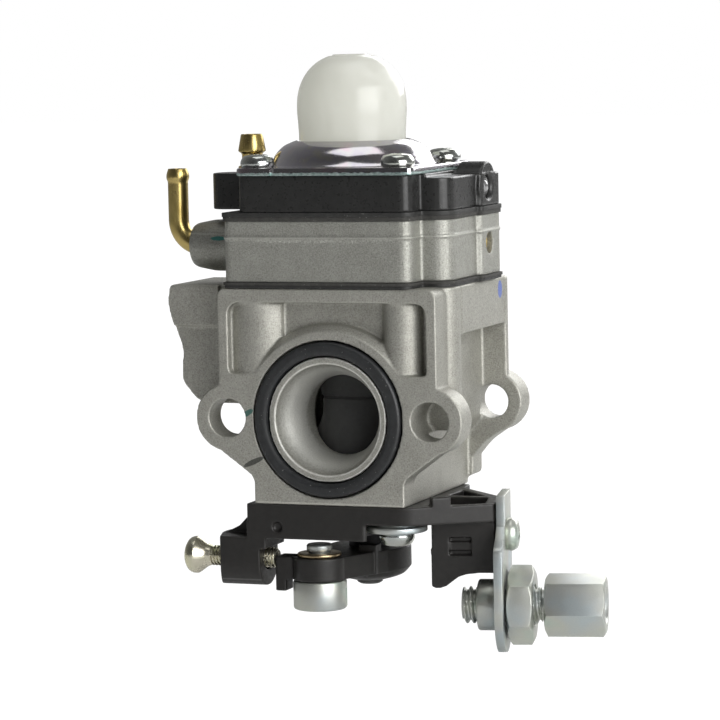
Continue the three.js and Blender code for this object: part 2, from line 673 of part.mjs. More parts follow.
// The drum that takes the cable's end; it turns in the lever's eye.
function swivel() {
	const { x, y, r, bottom } = SWIVEL;
	const drum = turned([
		[0, bottom], [r - 0.3, bottom], [r, bottom + 0.3], [r, LEVER.top - LEVER.t - 0.1],
		[1.55, LEVER.top - LEVER.t - 0.1], [1.55, LEVER.top + 0.8], [1.85, LEVER.top + 0.8],
		[1.85, LEVER.top + 1.8], [0, LEVER.top + 1.8],
	], 28);
	const slot = box([0, 6], [-0.6, 0.6], [bottom - 1, bottom + 3]);
	const pocket = rod(1.5, bottom - 1, bottom + 3, 14);
	const cutDrum = toGeometry(cut(drum, slot, pocket));
	return cutDrum.rotateZ(THREE.MathUtils.degToRad(ARM.turn)).translate(x, y, 0);
}

function addThrottle() {
	const spring = at(coil(4.9, 0.9, -15.2, 3, 1.15), 0, ROTOR.y);
	add('throttle_return_spring', spring, SPRING_STEEL);
	add('spring_seat_washer', at(ring(3.3, 6.2, -16.3, -15.9, 24), 0, ROTOR.y), ZINC);
	add('throttle_rotor', rotor(), BLACK_PLASTIC);
	const needle = turned([
		[0, -24.6], [0.9, -24.6], [0.9, -4], [0.65, -3.4], [0.65, 0], [0.3, 4.4], [0, 4.4],
	], 12);
	add('jet_needle', at(needle, 0, ROTOR.y), BRASS);
	add('throttle_lever', lever(), BLACK_PLASTIC);
	const cap = turned([[0, -25.95], [1.5, -25.95], [1.9, -25.7], [1.9, -25.2], [0, -25.2]], 16);
	add('needle_cap', at(cap, 0, ROTOR.y), BLACK_PLASTIC);
	add('cable_swivel', swivel(), ZINC);
	const clip = ring(1.7, 3.2, LEVER.top + 0.05, LEVER.top + 0.55, 24);
	add('swivel_clip', at(clip, SWIVEL.x, SWIVEL.y), BRONZE);
	const idle = turned([
		[0, -23.9], [1.3, -23.8], [2.4, -23.2], [2.7, -22.6], [2.7, -21.9], [1.7, -20.6], [IDLE.r, -20],
		[IDLE.r, IDLE.tip - 0.4], [IDLE.r - 0.4, IDLE.tip], [0, IDLE.tip],
	], 20);
	add('idle_speed_screw', alongX(idle, IDLE.y, IDLE.z), YELLOW_ZINC);
}

// ---- cable plate and adjuster, in the arm's own frame: +X along the cable -----------------

const hexagon = (acrossFlats, turn = 0) => {
	const corner = acrossFlats / Math.sqrt(3);
	return outline(Array.from({ length: 6 }, (_, i) => {
		const angle = THREE.MathUtils.degToRad(60 * i + turn);
		return [corner * Math.cos(angle), corner * Math.sin(angle)];
	}));
};

// Hexagonal prism along X with its corners chamfered by a turned solid.
function hexAlongX(acrossFlats, from, to, turn, y, z) {
	const corner = acrossFlats / Math.sqrt(3);
	const flat = acrossFlats / 2;
	const drop = (corner - flat) * 0.6;
	const limit = turned([
		[0, from], [flat, from], [corner, from + drop], [corner, to - drop], [flat, to], [0, to],
	], 24);
	const bar = prism(hexagon(acrossFlats, turn), from, to, 'x');
	return toGeometry(keep(bar, alongX(limit, 0, 0))).translate(0, y, z);
}

function cablePlate() {
	const { y, z } = CABLE;
	const roundR = 6.8;
	const shoulderZ = -18.5;
	const face = new THREE.Shape();
	face.moveTo(-4.1, -11.2);
	face.lineTo(-4.1, -15.5);
	face.lineTo(y - roundR, shoulderZ);
	face.lineTo(y - roundR, z);
	face.absarc(y, z, roundR, Math.PI, 2 * Math.PI);
	face.lineTo(y + roundR, shoulderZ);
	face.lineTo(4.1, -15.5);
	face.lineTo(4.1, -11.2);
	const blank = prism(face, 0, 1.2, 'x', 12);
	return cut(
		blank,
		alongX(rod(3.0, -1, 3, 20), y, z),
		alongX(rod(1.7, -1, 3, 12), -1, -17.2),
	);
}

function addCableStop() {
	const stop = new THREE.Group();
	stop.position.set(ARM.x, ARM.y, 0);
	stop.rotation.z = THREE.MathUtils.degToRad(ARM.turn);
	model.add(stop);
	const { y, z, threadR, headAF, nutAF } = CABLE;
	const plate = toGeometry(cablePlate()).translate(GAP, 0, 0);
	add('cable_plate', plate, ZINC, stop);
	const screw = toGeometry(panScrew({ r: 1.2, headR: 2.4, headT: 1.8, seat: 0, length: 3.6 }));
	screw.rotateY(Math.PI / 2).translate(1.8, -1, -17.2);
	add('cable_plate_screw', screw, ZINC, stop);
	add('plate_collar', alongX(ring(3.0, 3.7, -2.65, 0, 24), y, z), ZINC, stop);
	const hex = hexAlongX(headAF, 7.05, 15.75, 10.5, y, z);
	const thread = alongX(rod(threadR, -4.95, 7.2, 24), y, z);
	const adjuster = cut(
		join(hex, thread),
		alongX(rod(1.1, -6, 17, 12), y, z),
		alongX(rod(2.35, 9.5, 17, 20), y, z),
	);
	add('cable_adjuster', adjuster, ZINC, stop);
	const nut = cut(hexAlongX(nutAF, 1.8, 5.5, 24, y, z), alongX(rod(threadR + GAP, 0, 7, 24), y, z));
	add('adjuster_lock_nut', nut, ZINC, stop);
}

addMainBody();
addPump();
addMetering();
addPurge();
addBracket();
addThrottle();
addCableStop();

export default model;
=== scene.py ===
"""Studio picture of a rotary-valve diaphragm carburettor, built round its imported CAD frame.

Shapes are made in millimetres in the row frame (+Y to the engine, +Z to the primer bulb) and
scaled to metres when they are placed on their bodies.
"""
import math
import bmesh
import bpy
from mathutils import Matrix, Vector


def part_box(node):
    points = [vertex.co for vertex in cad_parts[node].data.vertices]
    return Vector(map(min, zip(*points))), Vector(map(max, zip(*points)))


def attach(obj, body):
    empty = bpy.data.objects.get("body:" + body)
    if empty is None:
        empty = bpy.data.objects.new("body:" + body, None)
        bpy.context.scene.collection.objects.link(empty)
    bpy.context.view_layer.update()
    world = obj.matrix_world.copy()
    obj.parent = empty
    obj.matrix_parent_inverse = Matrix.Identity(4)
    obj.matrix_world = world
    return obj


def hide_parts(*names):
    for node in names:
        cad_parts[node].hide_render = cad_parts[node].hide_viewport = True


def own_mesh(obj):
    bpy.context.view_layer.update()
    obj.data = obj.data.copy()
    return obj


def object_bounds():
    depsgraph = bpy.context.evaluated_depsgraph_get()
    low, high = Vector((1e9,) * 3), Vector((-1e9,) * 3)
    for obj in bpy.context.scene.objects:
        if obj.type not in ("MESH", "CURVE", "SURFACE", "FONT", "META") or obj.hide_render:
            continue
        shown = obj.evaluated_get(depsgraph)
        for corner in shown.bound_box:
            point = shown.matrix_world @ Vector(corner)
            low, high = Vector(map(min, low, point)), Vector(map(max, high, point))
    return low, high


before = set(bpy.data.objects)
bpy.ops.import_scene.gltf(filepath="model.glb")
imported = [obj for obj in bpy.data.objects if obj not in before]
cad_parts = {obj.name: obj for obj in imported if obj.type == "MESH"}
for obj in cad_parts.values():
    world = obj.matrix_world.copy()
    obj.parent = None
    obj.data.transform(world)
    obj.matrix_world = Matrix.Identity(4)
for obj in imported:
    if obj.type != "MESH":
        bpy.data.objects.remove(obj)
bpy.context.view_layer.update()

MM = 0.001
TAU = 2 * math.pi
scene = bpy.context.scene


# ---- shape helpers

def link(mesh, name="work"):
    obj = bpy.data.objects.new(name, mesh)
    scene.collection.objects.link(obj)
    return obj


def from_bmesh(bm):
    bmesh.ops.recalc_face_normals(bm, faces=bm.faces)
    mesh = bpy.data.meshes.new("work")
    bm.to_mesh(mesh)
    bm.free()
    return link(mesh)


def rounded(corners, steps=7):
    """A closed outline through corners (x, y, rounding), with each rounding a smooth curve."""
    points = []
    for i, corner in enumerate(corners):
        p = Vector(corner[:2])
        r = corner[2] if len(corner) > 2 else 0
        if r == 0:
            points.append(p)
            continue
        before = Vector(corners[i - 1][:2])
        after = Vector(corners[(i + 1) % len(corners)][:2])
        a = p + (before - p).normalized() * r
        b = p + (after - p).normalized() * r
        for k in range(steps + 1):
            t = k / steps
            points.append(a * (1 - t) ** 2 + p * (2 * t * (1 - t)) + b * t * t)
    return points


def mirrored(corners):
    return list(corners) + [(-c[0], *c[1:]) for c in reversed(corners)]


def arc(cx, cy, r, start, end, steps):
    angles = (math.radians(start + (end - start) * k / steps) for k in range(steps + 1))
    return [(cx + r * math.cos(a), cy + r * math.sin(a)) for a in angles]


def skin(bm, rings):
    """Side faces between each ring of points and the next one."""
    for low, high in zip(rings, rings[1:]):
        for k in range(len(low)):
            j = (k + 1) % len(low)
            bm.faces.new((low[k], low[j], high[j], high[k]))


def capped(bm, rings):
    """A closed solid through rings, with a flat face at both ends."""
    skin(bm, rings)
    bm.faces.new(rings[0][::-1])
    bm.faces.new(rings[-1])
    return from_bmesh(bm)


def spin(degrees, axis="Z"):
    return Matrix.Rotation(math.radians(degrees), 4, axis)


def shift(x, y, z):
    return Matrix.Translation((x, y, z))


def moved(obj, *steps):
    for step in steps:
        obj.data.transform(step)
    return obj


def prism(outline, low, high, axis="z"):
    """A solid of an outline drawn in the two other axes, in X, Y, Z order."""
    place = {
        "x": lambda a, b, h: (h, a, b),
        "y": lambda a, b, h: (a, h, b),
        "z": lambda a, b, h: (a, b, h),
    }[axis]
    bm = bmesh.new()
    rings = [[bm.verts.new(place(p[0], p[1], h)) for p in outline] for h in (low, high)]
    bm.faces.new(rings[0][::-1])
    bm.faces.new(rings[1])
    skin(bm, rings)
    return from_bmesh(bm)


def panel(corners, low, high, axis="z"):
    return prism(rounded(corners), low, high, axis)


def block(x, y, z):
    return prism([(x[0], y[0]), (x[1], y[0]), (x[1], y[1]), (x[0], y[1])], *z)


def turned(profile, sides=96, axis="z", at=(0, 0, 0)):
    """A lathe solid from a closed profile (radius, height); at is added afterwards."""
    bm = bmesh.new()
    rings = []
    for r, h in profile:
        if r < 1e-6:
            rings.append([bm.verts.new((0, 0, h))])
        else:
            ring = [TAU * k / sides for k in range(sides)]
            rings.append([bm.verts.new((r * math.cos(a), r * math.sin(a), h)) for a in ring])
    closed = profile[0][0] >= 1e-6
    pairs = list(zip(rings, rings[1:])) + ([(rings[-1], rings[0])] if closed else [])
    for low, high in pairs:
        for k in range(sides):
            j = (k + 1) % sides
            corners = [ring[i % len(ring)] for ring, i in ((low, k), (low, j), (high, j),
                                                           (high, k))]
            corners = list(dict.fromkeys(corners))
            if len(corners) > 2:
                bm.faces.new(corners)
    obj = from_bmesh(bm)
    turn = {"z": spin(0), "x": spin(90, "Y"), "y": spin(-90, "X")}[axis]
    return moved(obj, shift(*at) @ turn)


def rod(r, low, high, axis="z", at=(0, 0, 0), sides=64):
    return turned([(0, low), (r, low), (r, high), (0, high)], sides, axis, at)


def ease(points, steps=6):
    """A smooth Catmull-Rom curve through profile points, kept open."""
    pts = [Vector(p) for p in points]
    out = []
    for i in range(len(pts) - 1):
        p0, p1, p2, p3 = pts[max(i - 1, 0)], pts[i], pts[i + 1], pts[min(i + 2, len(pts) - 1)]
        for k in range(steps):
            t = k / steps
            out.append(0.5 * (2 * p1 + (p2 - p0) * t + (2 * p0 - 5 * p1 + 4 * p2 - p3) * t * t
                              + (3 * p1 - p0 - 3 * p2 + p3) * t ** 3))
    return out + [pts[-1]]


def apply(obj):
    """Bakes the modifiers into the mesh."""
    graph = bpy.context.evaluated_depsgraph_get()
    mesh = bpy.data.meshes.new_from_object(obj.evaluated_get(graph))
    obj.modifiers.clear()
    obj.data = mesh
    return obj


def combine(base, add=(), cut=(), keep=()):
    tools = [("UNION", t) for t in add] + [("DIFFERENCE", t) for t in cut]
    tools += [("INTERSECT", t) for t in keep]
    for operation, tool in tools:
        modifier = base.modifiers.new("shape", "BOOLEAN")
        modifier.operation = operation
        modifier.solver = "MANIFOLD"
        modifier.object = tool
    apply(base)
    for _, tool in tools:
        bpy.data.objects.remove(tool)
    return base


def gather(base, other):
    """Puts two closed shells into one mesh."""
    bm = bmesh.new()
    bm.from_mesh(base.data)
    bm.from_mesh(other.data)
    bpy.data.objects.remove(other)
    bmesh.ops.recalc_face_normals(bm, faces=bm.faces)
    bm.to_mesh(base.data)
    bm.free()
    return base


def cast(obj, voxel, rounds):
    """Soft edges of a casting or moulding: an even skin over the shape, then smoothed."""
    remesh = obj.modifiers.new("skin", "REMESH")
    remesh.mode = "VOXEL"
    remesh.voxel_size = voxel
    relax = obj.modifiers.new("soft", "SMOOTH")
    relax.factor = 0.5
    relax.iterations = rounds
    apply(obj)
    obj.data.shade_smooth()
    return obj


def crisp(obj, width, segments):
    """Small rounded edges on a pressed, turned or machined piece."""
    bm = bmesh.new()
    bm.from_mesh(obj.data)
    bmesh.ops.remove_doubles(bm, verts=bm.verts, dist=1e-4)
    bmesh.ops.dissolve_limit(bm, angle_limit=math.radians(0.5), verts=bm.verts, edges=bm.edges)
    bm.to_mesh(obj.data)
    bm.free()
    bevel = obj.modifiers.new("edge", "BEVEL")
    bevel.width = width
    bevel.segments = segments
    bevel.angle_limit = math.radians(28)
    bevel.miter_outer = "MITER_ARC"
    return smooth(apply(obj))


def smooth(obj, angle=38):
    """Smooth shading, with every edge over the angle kept sharp."""
    obj.data.shade_smooth()
    obj.data.set_sharp_from_angle(angle=math.radians(angle))
    return obj


def thread(r, depth, pitch, start, end, sides, per_turn):
    """A threaded rod along X with a real helical groove that runs out at both ends."""
    rows = int((end - start) / pitch * per_turn)
    bm = bmesh.new()
    rings = []
    for i in range(rows + 1):
        x = start + (end - start) * i / rows
        room = min(x - start, end - x) / (0.6 * pitch)
        ring = []
        for k in range(sides):
            phase = (x / pitch - k / sides) % 1
            groove = min(1, max(0, 1.45 - abs(phase - 0.5) * 3.6))
            radius = r - depth * groove - 0.45 * depth * max(0, 1 - room)
            a = TAU * k / sides
            ring.append(bm.verts.new((x, radius * math.cos(a), radius * math.sin(a))))
        rings.append(ring)
    return capped(bm, rings)


def coil(r, wire, low, turns, pitch, at, sides=14):
    """A round-wire spring standing on Z, starting at the middle of its lowest turn."""
    bm = bmesh.new()
    rings = []
    steps = 48 * turns
    for i in range(steps + 1):
        a = TAU * turns * i / steps
        out = Vector((math.cos(a), math.sin(a), 0))
        centre = Vector((at[0], at[1], low + turns * pitch * i / steps)) + out * r
        spokes = [TAU * k / sides for k in range(sides)]
        rim = [out * math.cos(b) + Vector((0, 0, math.sin(b))) for b in spokes]
        rings.append([bm.verts.new(centre + v * wire / 2) for v in rim])
    return smooth(capped(bm, rings))


def tube(path, radius, bore, sides=40):
    """A hollow tube along a path of points, with radius(i) and its bore at every point."""
    bm = bmesh.new()
    pts = [Vector(p) for p in path]
    side = Vector((0, 1, 0))
    loops = []
    for inner in (False, True):
        rings = []
        for i, p in enumerate(pts):
            ahead = (pts[min(i + 1, len(pts) - 1)] - pts[max(i - 1, 0)]).normalized()
            up = side.cross(ahead)
            r = bore if inner else radius(i)
            rings.append([bm.verts.new(p + side * r * math.cos(TAU * k / sides)
                                       + up * r * math.sin(TAU * k / sides)) for k in range(sides)])
        loops.append(rings)
        skin(bm, rings)
    outside, inside = loops
    for end in (0, -1):
        skin(bm, (outside[end], inside[end]))
    return from_bmesh(bm)


def hex_along_x(across_flats, low, high, turn):
    """A hexagonal bar along X whose ends are coned like a turned nut's."""
    flat, corner = across_flats / 2, across_flats / math.sqrt(3) + 0.05
    drop = (corner - flat) * 0.62
    cone = turned([(0, low), (flat - 0.15, low), (corner, low + drop), (corner, high - drop),
                   (flat - 0.15, high), (0, high)], 128, "x")
    outline = arc(0, 0, across_flats / math.sqrt(3), turn, turn + 300, 5)
    return combine(prism(outline, low, high, "x"), keep=[cone])


def place(obj, name, body, material, nodes, slot):
    """Scales a finished shape to metres and puts it on its CAD body in place of its CAD nodes."""
    obj.name = obj.data.name = name
    obj.data.transform(Matrix.Scale(MM, 4))
    obj.data.materials.clear()
    obj.data.materials.append(material)
    for polygon in obj.data.polygons:
        polygon.material_index = 0
    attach(obj, body)
    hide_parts(*([nodes] if isinstance(nodes, str) else nodes))
    return obj


def spot(node):
    """Centre, lowest and highest corner of a CAD node in millimetres."""
    low, high = (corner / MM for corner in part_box(node))
    return (low + high) / 2, low, high


# ---- places that several pieces share, in millimetres

HALF = 15.5  # half the spacing of the two mounting holes
FRONT, TOP, BOTTOM = -32.0, 18.8, -12.4  # intake, pump and bracket faces of the main casting
BACK = FRONT + 4.5  # rear of the intake flange
ROTOR = (0, -16.0, 0)  # axis of the rotor and its lever
STACK = (0.2, -20.0, 0)  # axis of the bulb and of the round chambers under it
SCREWS = [(sx * 10.7, STACK[1] + sy * 9.9) for sx in (-1, 1) for sy in (-1, 1)]
BRACKET_SCREWS = [(8.7, -27.6), (-8.7, -7.6)]
HOLE, CHAMBER = 1.7, 9.5  # radii of the screw holes and of the round chambers
PLUG = (0, -17, 16)  # on the passage closed by the round plug
LEFT_END = -15.5  # left side of the pump casting and of the sheets
PUMP_TOP, PURGE_LOW, PURGE_TOP = 28.4, 29.6, 34.9  # pump casting and upper body
INLET = (0, STACK[1], 24.2)  # on the passage of the fuel elbow
OUTLET = (0, -12.5, 24.2)  # on the passage closed by the brass plug
BALL = (0, -12.6, 32.4)  # on the passage closed by the ball
RETURN_X = -15.6  # return fitting
SLAB_TOP, SLAB_BOTTOM, CUP_BOTTOM = BOTTOM, -15.0, -17.4  # lower bracket
IDLE_Y, IDLE_Z = -28.3, -20.7  # idle screw, which runs along X
LEVER_TOP, LEVER_BOTTOM = -20.3, -23.6
SWIVEL = (-3.2, -28.0, 0)
TRAVEL = 76  # degrees from idle to full throttle
ARM_TURN = 12  # degrees from X to the cable, which runs along the arm's own X
ARM = shift(21.55, -20.65, 0) @ spin(ARM_TURN)  # frame of the bracket's arm
PLATE_SCREW = (-1, -17.2)  # Y and Z in the frame of the arm
CABLE = (0, -2.0, -27.3)  # on the cable, in the frame of the arm


# ---- materials

class Nodes:
    """Adds nodes to a tree; an input is set to a value or hung on another node's output."""

    def __init__(self, tree):
        self.tree = tree

    def feed(self, socket, value):
        if isinstance(value, bpy.types.NodeSocket):
            self.tree.links.new(value, socket)
        else:
            socket.default_value = value

    def add(self, kind, inputs=None, **settings):
        node = self.tree.nodes.new(kind)
        for key, value in settings.items():
            setattr(node, key, value)
        for socket, value in (inputs or {}).items():
            self.feed(node.inputs[socket], value)
        return node

    def ramp(self, value, *stops):
        node = self.add("ShaderNodeValToRGB", {"Fac": value})
        elements = node.color_ramp.elements
        while len(elements) < len(stops):
            elements.new(0.5)
        for element, (position, color) in zip(elements, stops):
            element.position = position
            element.color = (*color, 1)
        return node.outputs["Color"]

    def span(self, value, low, high, new_low, new_high):
        numbers = enumerate((value, low, high, new_low, new_high))
        return self.add("ShaderNodeMapRange", dict(numbers)).outputs[0]

    def math(self, operation, a, b=0.0):
        return self.add("ShaderNodeMath", {0: a, 1: b}, operation=operation).outputs[0]

    def times(self, a, b):
        return self.math("MULTIPLY", a, b)

    def vector(self, operation, a, b):
        return self.add("ShaderNodeVectorMath", {0: a, 1: b}, operation=operation).outputs[0]


class Shader(Nodes):
    """A node material whose patterns are laid out in millimetres on the resting shape."""

    def __init__(self, name, color, roughness, metallic=0.0, **sockets):
        self.material = bpy.data.materials.new(name)
        self.material.use_nodes = True
        super().__init__(self.material.node_tree)
        self.surface = self.tree.nodes["Principled BSDF"]
        sockets.update(Base_Color=(*color, 1), Roughness=roughness, Metallic=metallic)
        for socket, value in sockets.items():
            self.feed(self.surface.inputs[socket.replace("_", " ")], value)
        self.color = color
        where = self.add("ShaderNodeTexCoord").outputs["Object"]
        scale = self.add("ShaderNodeVectorMath", {0: where, "Scale": 1 / MM}, operation="SCALE")
        self.mm = scale.outputs[0]

    def noise(self, per_mm, detail=3, rough=0.6, stretch=None):
        where = self.vector("MULTIPLY", self.mm, stretch) if stretch else self.mm
        inputs = {"Vector": where, "Scale": per_mm, "Detail": detail, "Roughness": rough}
        return self.add("ShaderNodeTexNoise", inputs).outputs["Fac"]

    def axes(self):
        """X, Y and Z in millimetres."""
        return self.add("ShaderNodeSeparateXYZ", {0: self.mm}).outputs

    def between(self, value, low, high, soft):
        """A mask, 1 from low to high with soft ends inside them."""
        rise = self.span(value, low, low + soft, 0, 1)
        return self.times(rise, self.span(value, high - soft, high, 1, 0))

    def mix(self, fac, a, b, blend="MIX"):
        a, b = ((*v, 1) if isinstance(v, tuple) else v for v in (a, b))
        inputs = {0: fac, 6: a, 7: b}  # the two colours of a node that mixes other kinds too
        return self.add("ShaderNodeMix", inputs, data_type="RGBA", blend_type=blend).outputs[2]

    def tint(self, low, high, per_mm, contrast=0.18, detail=4):
        """Base colour wandering between low and high times the plain colour."""
        stops = zip((0.5 - contrast, 0.5 + contrast), (shade(self.color, k) for k in (low, high)))
        return self.ramp(self.noise(per_mm, detail), *stops)

    def edges(self, low=0.515, high=0.6):
        # convex edges by pointiness, used to lighten edges as wear and as a painted highlight
        point = self.add("ShaderNodeNewGeometry").outputs["Pointiness"]
        return self.span(point, low, high, 0, 1)

    def spot(self, centre, radii, tilt):
        """A mask, 1 inside a small ellipsoid with ragged edges, tilted in the XZ plane."""
        inputs = {"Vector": self.vector("SUBTRACT", self.mm, centre), "Angle": math.radians(tilt)}
        level = self.add("ShaderNodeVectorRotate", inputs, rotation_type="Y_AXIS").outputs[0]
        fit = self.vector("DIVIDE", level, radii)
        away = self.add("ShaderNodeVectorMath", {0: fit}, operation="LENGTH").outputs["Value"]
        ragged = self.math("ADD", away, self.times(self.noise(2.2), 0.25))
        return self.span(ragged, 0.98, 1.12, 1, 0)

    def finish(self, color, rough=None, bumps=()):
        normal = {}
        for height, strength, depth in bumps:
            inputs = {"Strength": strength, "Distance": depth * MM, "Height": height, **normal}
            normal = {"Normal": self.add("ShaderNodeBump", inputs).outputs["Normal"]}
        for socket, value in {"Base Color": color, "Roughness": rough, **normal}.items():
            if value is not None:
                self.feed(self.surface.inputs[socket], value)
        return self.material


def shade(color, k):
    return tuple(min(1, c * k) for c in color)


def cast_metal(name, color, marks=(), seam=None, mouth=None):
    """Sand-textured die casting: fine dark and light grains, broad blotches, edges lightened as
    wear and painted highlight.
    """
    s = Shader(name, color, 0.5, 0.7)
    grain = s.noise(4.6, 6, 0.72)
    base = s.ramp(grain, (0.30, shade(color, 0.60)), (0.48, color), (0.74, shade(color, 1.42)))
    blotch = s.ramp(s.noise(0.28, 3), (0.35, (0.90, 0.90, 0.89)), (0.65, (1, 1, 1)))
    base = s.mix(1.0, base, blotch, "MULTIPLY")
    # edges lightened: rubbed wear plus a painted highlight on the edges
    base = s.mix(s.times(s.edges(), 0.45), base, shade(color, 1.7))
    for centre, radii, tilt, paint, cover_ in marks:
        base = s.mix(s.times(s.spot(centre, radii, tilt), cover_), base, paint)
    bumps = [(s.noise(3.4, 5, 0.7), 0.75, 0.10), (s.noise(0.55, 2), 0.25, 0.12)]
    # painted highlight rings on the rims of the intake mouth, broken up by noise
    if mouth:
        x, y, z = s.axes()
        away = s.math("SQRT", s.math("ADD", s.times(x, x), s.times(z, z)))
        front = s.span(y, FRONT + 0.9, FRONT + 1.0, 1, 0)
        highlight_strength = s.span(s.noise(1.3, 4, 0.7), 0.3, 0.6, 0.35, 1)
        for radius in mouth:
            band = s.between(away, radius - 0.16, radius + 0.16, 0.12)
            line = s.times(s.times(band, front), highlight_strength)
            base = s.mix(s.times(line, 0.8), base, (0.80, 0.80, 0.76))
    if seam:
        low, high, left, right = seam
        x, _, z = s.axes()
        band = s.times(s.between(x, left, right, 2), s.between(z, low, high, 0.3))
        rubbed = s.times(band, s.span(s.noise(2.6, 5, 0.8), 0.5, 0.62, 0, 1))
        base = s.mix(s.times(rubbed, 0.55), base, shade(color, 1.7))
        height = s.math("ADD", z, s.times(s.noise(0.8, 2), 0.1))
        line = s.times(s.span(height, high + 0.08, high + 0.14, 0, 1),
                       s.span(height, high + 0.2, high + 0.28, 1, 0))
        base = s.mix(s.times(line, 0.6), base, shade(color, 1.6))
        bumps.append((rubbed, 0.5, 0.12))
    rough = s.span(grain, 0.3, 0.7, 0.56, 0.40)
    return s.finish(base, rough, bumps)


def moulded(name, color, roughness=0.42):
    s = Shader(name, color, roughness, Specular_IOR_Level=0.42)
    base = s.tint(0.85, 1.2, 0.9)
    dust = s.span(s.noise(5.5, 2, 0.5), 0.72, 0.8, 0, 0.12)
    base = s.mix(dust, base, (0.32, 0.31, 0.29))
    # edges lightened on the black plastic: a painted highlight along with wear
    base = s.mix(s.times(s.edges(0.52, 0.62), 0.35), base, (0.16, 0.16, 0.155))
    rough = s.span(s.noise(1.6, 4), 0.3, 0.7, roughness - 0.07, roughness + 0.1)
    return s.finish(base, rough, [(s.noise(7, 3), 0.08, 0.03), (s.noise(0.5, 2), 0.12, 0.1)])


def rubbery(name, color, roughness=0.5):
    s = Shader(name, color, roughness)
    base = s.tint(0.75, 1.3, 1.4)
    specks = s.span(s.noise(4.2, 1, 0.5), 0.74, 0.78, 0, 0.5)
    base = s.mix(specks, base, (0.4, 0.4, 0.38))
    rough = s.span(s.noise(2.2, 3), 0.3, 0.7, roughness - 0.1, roughness + 0.1)
    return s.finish(base, rough, [(s.noise(9, 2), 0.15, 0.02)])


def hues(color, *shifts):
    """Stops of a ramp through the colour with each shift added."""
    return [(stop, tuple(min(1, c + d) for c, d in zip(color, shift)))
            for stop, shift in zip((0.32, 0.44, 0.56, 0.68), shifts)]


def plated(name, color, shifts, roughness=0.24, streak=(1, 1, 1), uneven=0.02, metallic=1.0):
    """Plated or bare metal with faint rainbow blotches, fine streaks and small pits."""
    s = Shader(name, color, roughness, metallic)
    base = s.ramp(s.noise(0.16, 2, 0.5), *hues(color, *shifts))
    fine = s.ramp(s.noise(6, 4, 0.6, streak), (0.3, (0.93, 0.93, 0.93)), (0.6, (1, 1, 1)))
    base = s.mix(1.0, base, fine, "MULTIPLY")
    rough = s.span(s.noise(0.8, 2, 0.5, streak), 0.3, 0.7, roughness - uneven, roughness + uneven)
    return s.finish(base, rough, [(s.noise(8, 3, 0.6, streak), 0.08, 0.006)])


ALUMINIUM = (0.375, 0.370, 0.335)
body_metal = cast_metal("cast_aluminium", ALUMINIUM, mouth=(8.12, 8.86), marks=[
    # lighter machined bore of the bell, partly a painted highlight where light falls inside it
    ((0, -29, 0), (8.6, 6, 8.6), 0, (0.60, 0.60, 0.565), 0.8),
    ((17.7, -6.2, 16.9), (0.9, 1.0, 1.4), 0, (0.10, 0.17, 0.55), 0.8),
    ((-12.3, FRONT, 0.75), (1.1, 0.4, 0.42), 30, (0.03, 0.13, 0.11), 0.85),
    ((-11.5, FRONT, -6.3), (1.9, 0.4, 0.42), 24, (0.03, 0.033, 0.03), 0.8),
])
pump_metal = cast_metal("pump_casting_metal", (0.335, 0.335, 0.305), marks=[
    ((-19.8, -23.7, 25.4), (1.3, 0.7, 0.35), 0, (0.03, 0.22, 0.20), 0.85),
], seam=(25.2, 25.9, -11.5, 7.5))
black_body = moulded("black_phenolic", (0.016, 0.016, 0.0155), 0.30)
black_bracket = moulded("black_nylon", (0.012, 0.011, 0.010), 0.44)
rotor_black = moulded("rotor_acetal", (0.012, 0.012, 0.0125), 0.6)
seal_rubber = rubbery("seal_rubber", (0.014, 0.015, 0.016), 0.46)
sheet_rubber = rubbery("sheet_rubber", (0.018, 0.018, 0.017), 0.6)
fibre = rubbery("gasket_fibre_sheet", (0.035, 0.034, 0.031), 0.82)
valve_rubber = rubbery("valve_rubber", (0.06, 0.06, 0.058), 0.55)

CHROME = (0.50, 0.49, 0.50)
ZINC = (0.50, 0.52, 0.50)
NONE = (0, 0, 0)  # no shift from the plain colour
zinc_hues = ((-0.03, 0.0, 0.03), NONE, (0.02, 0.01, -0.02), (-0.03, 0.02, -0.02))
zinc = plated("zinc_plate_blue", ZINC, zinc_hues, 0.38, metallic=0.85)
zinc_bright = plated("zinc_plate_bright", ZINC, zinc_hues, 0.2)
zinc_satin = plated("zinc_satin_turned", ZINC, zinc_hues, 0.42, (0.35, 0.35, 4), metallic=0.9)
zinc_yellow = plated("zinc_plate_yellow", (0.66, 0.64, 0.50),
                     ((0, 0, -0.06), NONE, (0.04, 0.02, 0.04), (-0.08, -0.05, -0.08)), 0.28)
brass = plated("brass_turned", (0.50, 0.39, 0.145),
               ((-0.14, -0.13, -0.07), NONE, (0.07, 0.05, 0.03), (-0.05, -0.03, -0.02)), 0.29)
bronze = plated("bronze_clip", (0.42, 0.33, 0.20),
                ((-0.1, -0.1, -0.08), NONE, (0.1, 0.08, 0.05), (0.02, 0, 0)), 0.3)
steel = plated("spring_wire", (0.34, 0.34, 0.34),
               ((-0.08,) * 3, NONE, (0.08,) * 3, (-0.02,) * 3), 0.3)


def milky():
    """Translucent soft plastic, clearer where it is thin, with a faint painted glow for light
    shining through it.
    """
    s = Shader("milky_bulb", (0.46, 0.465, 0.43), 0.17, 0.0, IOR=1.4,
               Subsurface_Weight=1.0, Subsurface_Scale=0.012, Subsurface_Radius=(1, 1, 1),
               # faint emission: painted glow for the light that shines through the bulb
               Emission_Color=(1, 1, 0.87, 1), Emission_Strength=0.19)
    base = s.tint(0.98, 1.02, 0.12, 0.2, 1)
    rough = s.span(s.noise(0.5, 2), 0.3, 0.7, 0.14, 0.20)
    return s.finish(base, rough)


bulb_plastic = milky()


# ---- castings and mouldings


def screw_holes(places, low, high):
    return [rod(HOLE, low, high, at=(x, y, 0), sides=32) for x, y in places]


